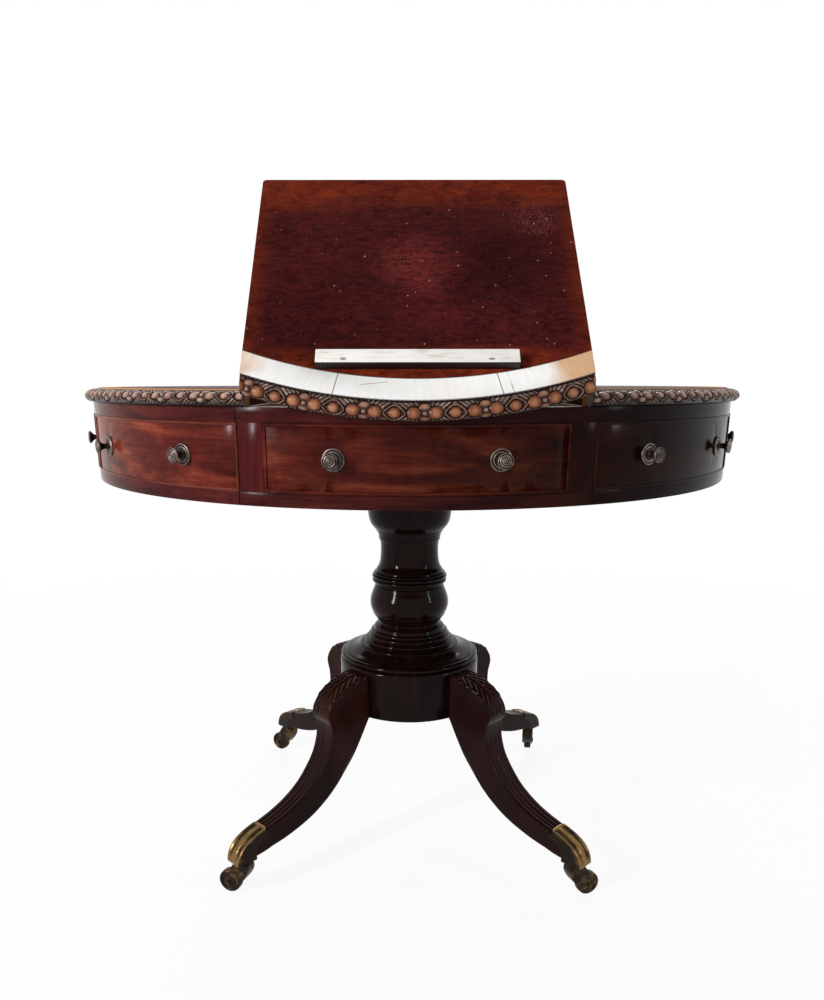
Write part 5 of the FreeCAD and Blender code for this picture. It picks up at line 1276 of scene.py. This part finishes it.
bleached_rest = rest_finish()
slope_way = Vector((0, -math.sin(TILT), math.cos(TILT)))
rest_mesh = laid_flat(faced(eased_copy("book_rest", 0.7, 3), slope_way), tilted.inverted())
new_piece("bleached_book_rest", rest_mesh, bleached_rest, "book_rest", "top_mahogany", "book_rest")
pale_beech = polished_wood("pale_beech_pegs", PLAIN_TONES, along="z", scale=2.0, polish=0.45)
dressed(pale_beech, "book_rest_pegs")

# Strut: a mahogany frame hinged under the slope. Its foot drops into the notches of two
# racks that are screwed inside the well.
# The strut and its racks take the darker tones as painted shade.
strut_wood = polished_wood("strut_mahogany", SHADOW_TONES, along="x", polish=0.35)
new_piece("strut_frame", eased_copy("slope_strut", 0.8, 2), strut_wood, "strut", "plain_wood", "slope_strut")
dressed(strut_wood, "strut_racks")

# Studio: a white floor under a white sky, a soft box on each side and one above,
# and a camera in front of the table, just above the level of its top.
PAPER_WHITE, PAPER_SHADE = (0.86, 0.86, 0.86), (0.84, 0.84, 0.84)
FLOOR_HALF, FADE_STARTS, FADE_ENDS, FLOOR_GLOW, SKY_LIGHT = 9, 0.7, 2.4, 0.9, 0.38


def paper(name):
    """Matt white paper that keeps the shadows near the table and shows as plain white further off."""
    make = Finish(name)
    place = make.place()
    make.bump(make.noise(place, 900, 2), 0.0001, 0.1)
    make.done(make.mix(make.range(make.noise(place, 3, 2), 0.3, 0.7), PAPER_WHITE, PAPER_SHADE), 0.9)
    glow = make.add("ShaderNodeEmission", Color=(1, 1, 1, 1), Strength=1.0).outputs[0]
    away = make.add("ShaderNodeVectorMath", {"operation": "LENGTH"}, i0=place).outputs["Value"]
    share = make.times(make.seen_plainly(), make.range(away, FADE_STARTS, FADE_ENDS, FLOOR_GLOW, 1.0))
    mixed = make.add("ShaderNodeMixShader", Fac=share, i1=make.shader.outputs[0], i2=glow).outputs[0]
    make.feed(make.tree.nodes["Material Output"], "Surface", mixed)
    return make.material


sheet = bpy.data.meshes.new("studio_floor")
sheet.from_pydata([(x * FLOOR_HALF, y * FLOOR_HALF, 0) for x, y in ((-1, -1), (1, -1), (1, 1), (-1, 1))], [],
                  [(0, 1, 2, 3)])
sheet.materials.append(paper("floor_paper"))
studio_floor = bpy.data.objects.new("studio_floor", sheet)
bpy.context.scene.collection.objects.link(studio_floor)

world = bpy.data.worlds.new("studio_world")
bpy.context.scene.world = world
world.use_nodes = True
sky = Nodes(world.node_tree)
background = sky.tree.nodes["Background"]
sky.feed(background, "Color", (1, 1, 1, 1))
sky.feed(background, "Strength", sky.range(sky.seen_plainly(), 0.0, 1.0, SKY_LIGHT, 1.0))


def soft_box(name, place, aim, wide, tall, watts):
    lamp = bpy.data.lights.new(name, "AREA")
    lamp.shape = "RECTANGLE"
    lamp.size, lamp.size_y, lamp.energy = wide, tall, watts
    thing = bpy.data.objects.new(name, lamp)
    thing.location = place
    thing.rotation_euler = (Vector(aim) - Vector(place)).to_track_quat("-Z", "Y").to_euler()
    bpy.context.scene.collection.objects.link(thing)


soft_box("left_window", (-2.4, -2.0, 1.7), (0, 0, 0.6), 0.16, 1.3, 92)
soft_box("right_window", (2.7, -1.3, 1.7), (0, 0, 0.6), 0.10, 1.3, 14)
soft_box("overhead", (0.2, 2.5, 2.5), (0, 0, 0.7), 2.2, 1.0, 50)

lens = bpy.data.cameras.new("photo_camera")
lens.sensor_width, lens.lens, lens.shift_x, lens.shift_y = 36, 29.207, 0.0158, 0.123
lens.clip_start = 0.05
camera = bpy.data.objects.new("photo_camera", lens)
camera.location = (-0.02265, -1.3511, 0.7682)
camera.rotation_euler = (math.radians(90 - 16.59), math.radians(0.03), math.radians(-0.012))
bpy.context.scene.collection.objects.link(camera)
bpy.context.scene.camera = camera
bpy.context.scene.view_settings.view_transform = "Standard"
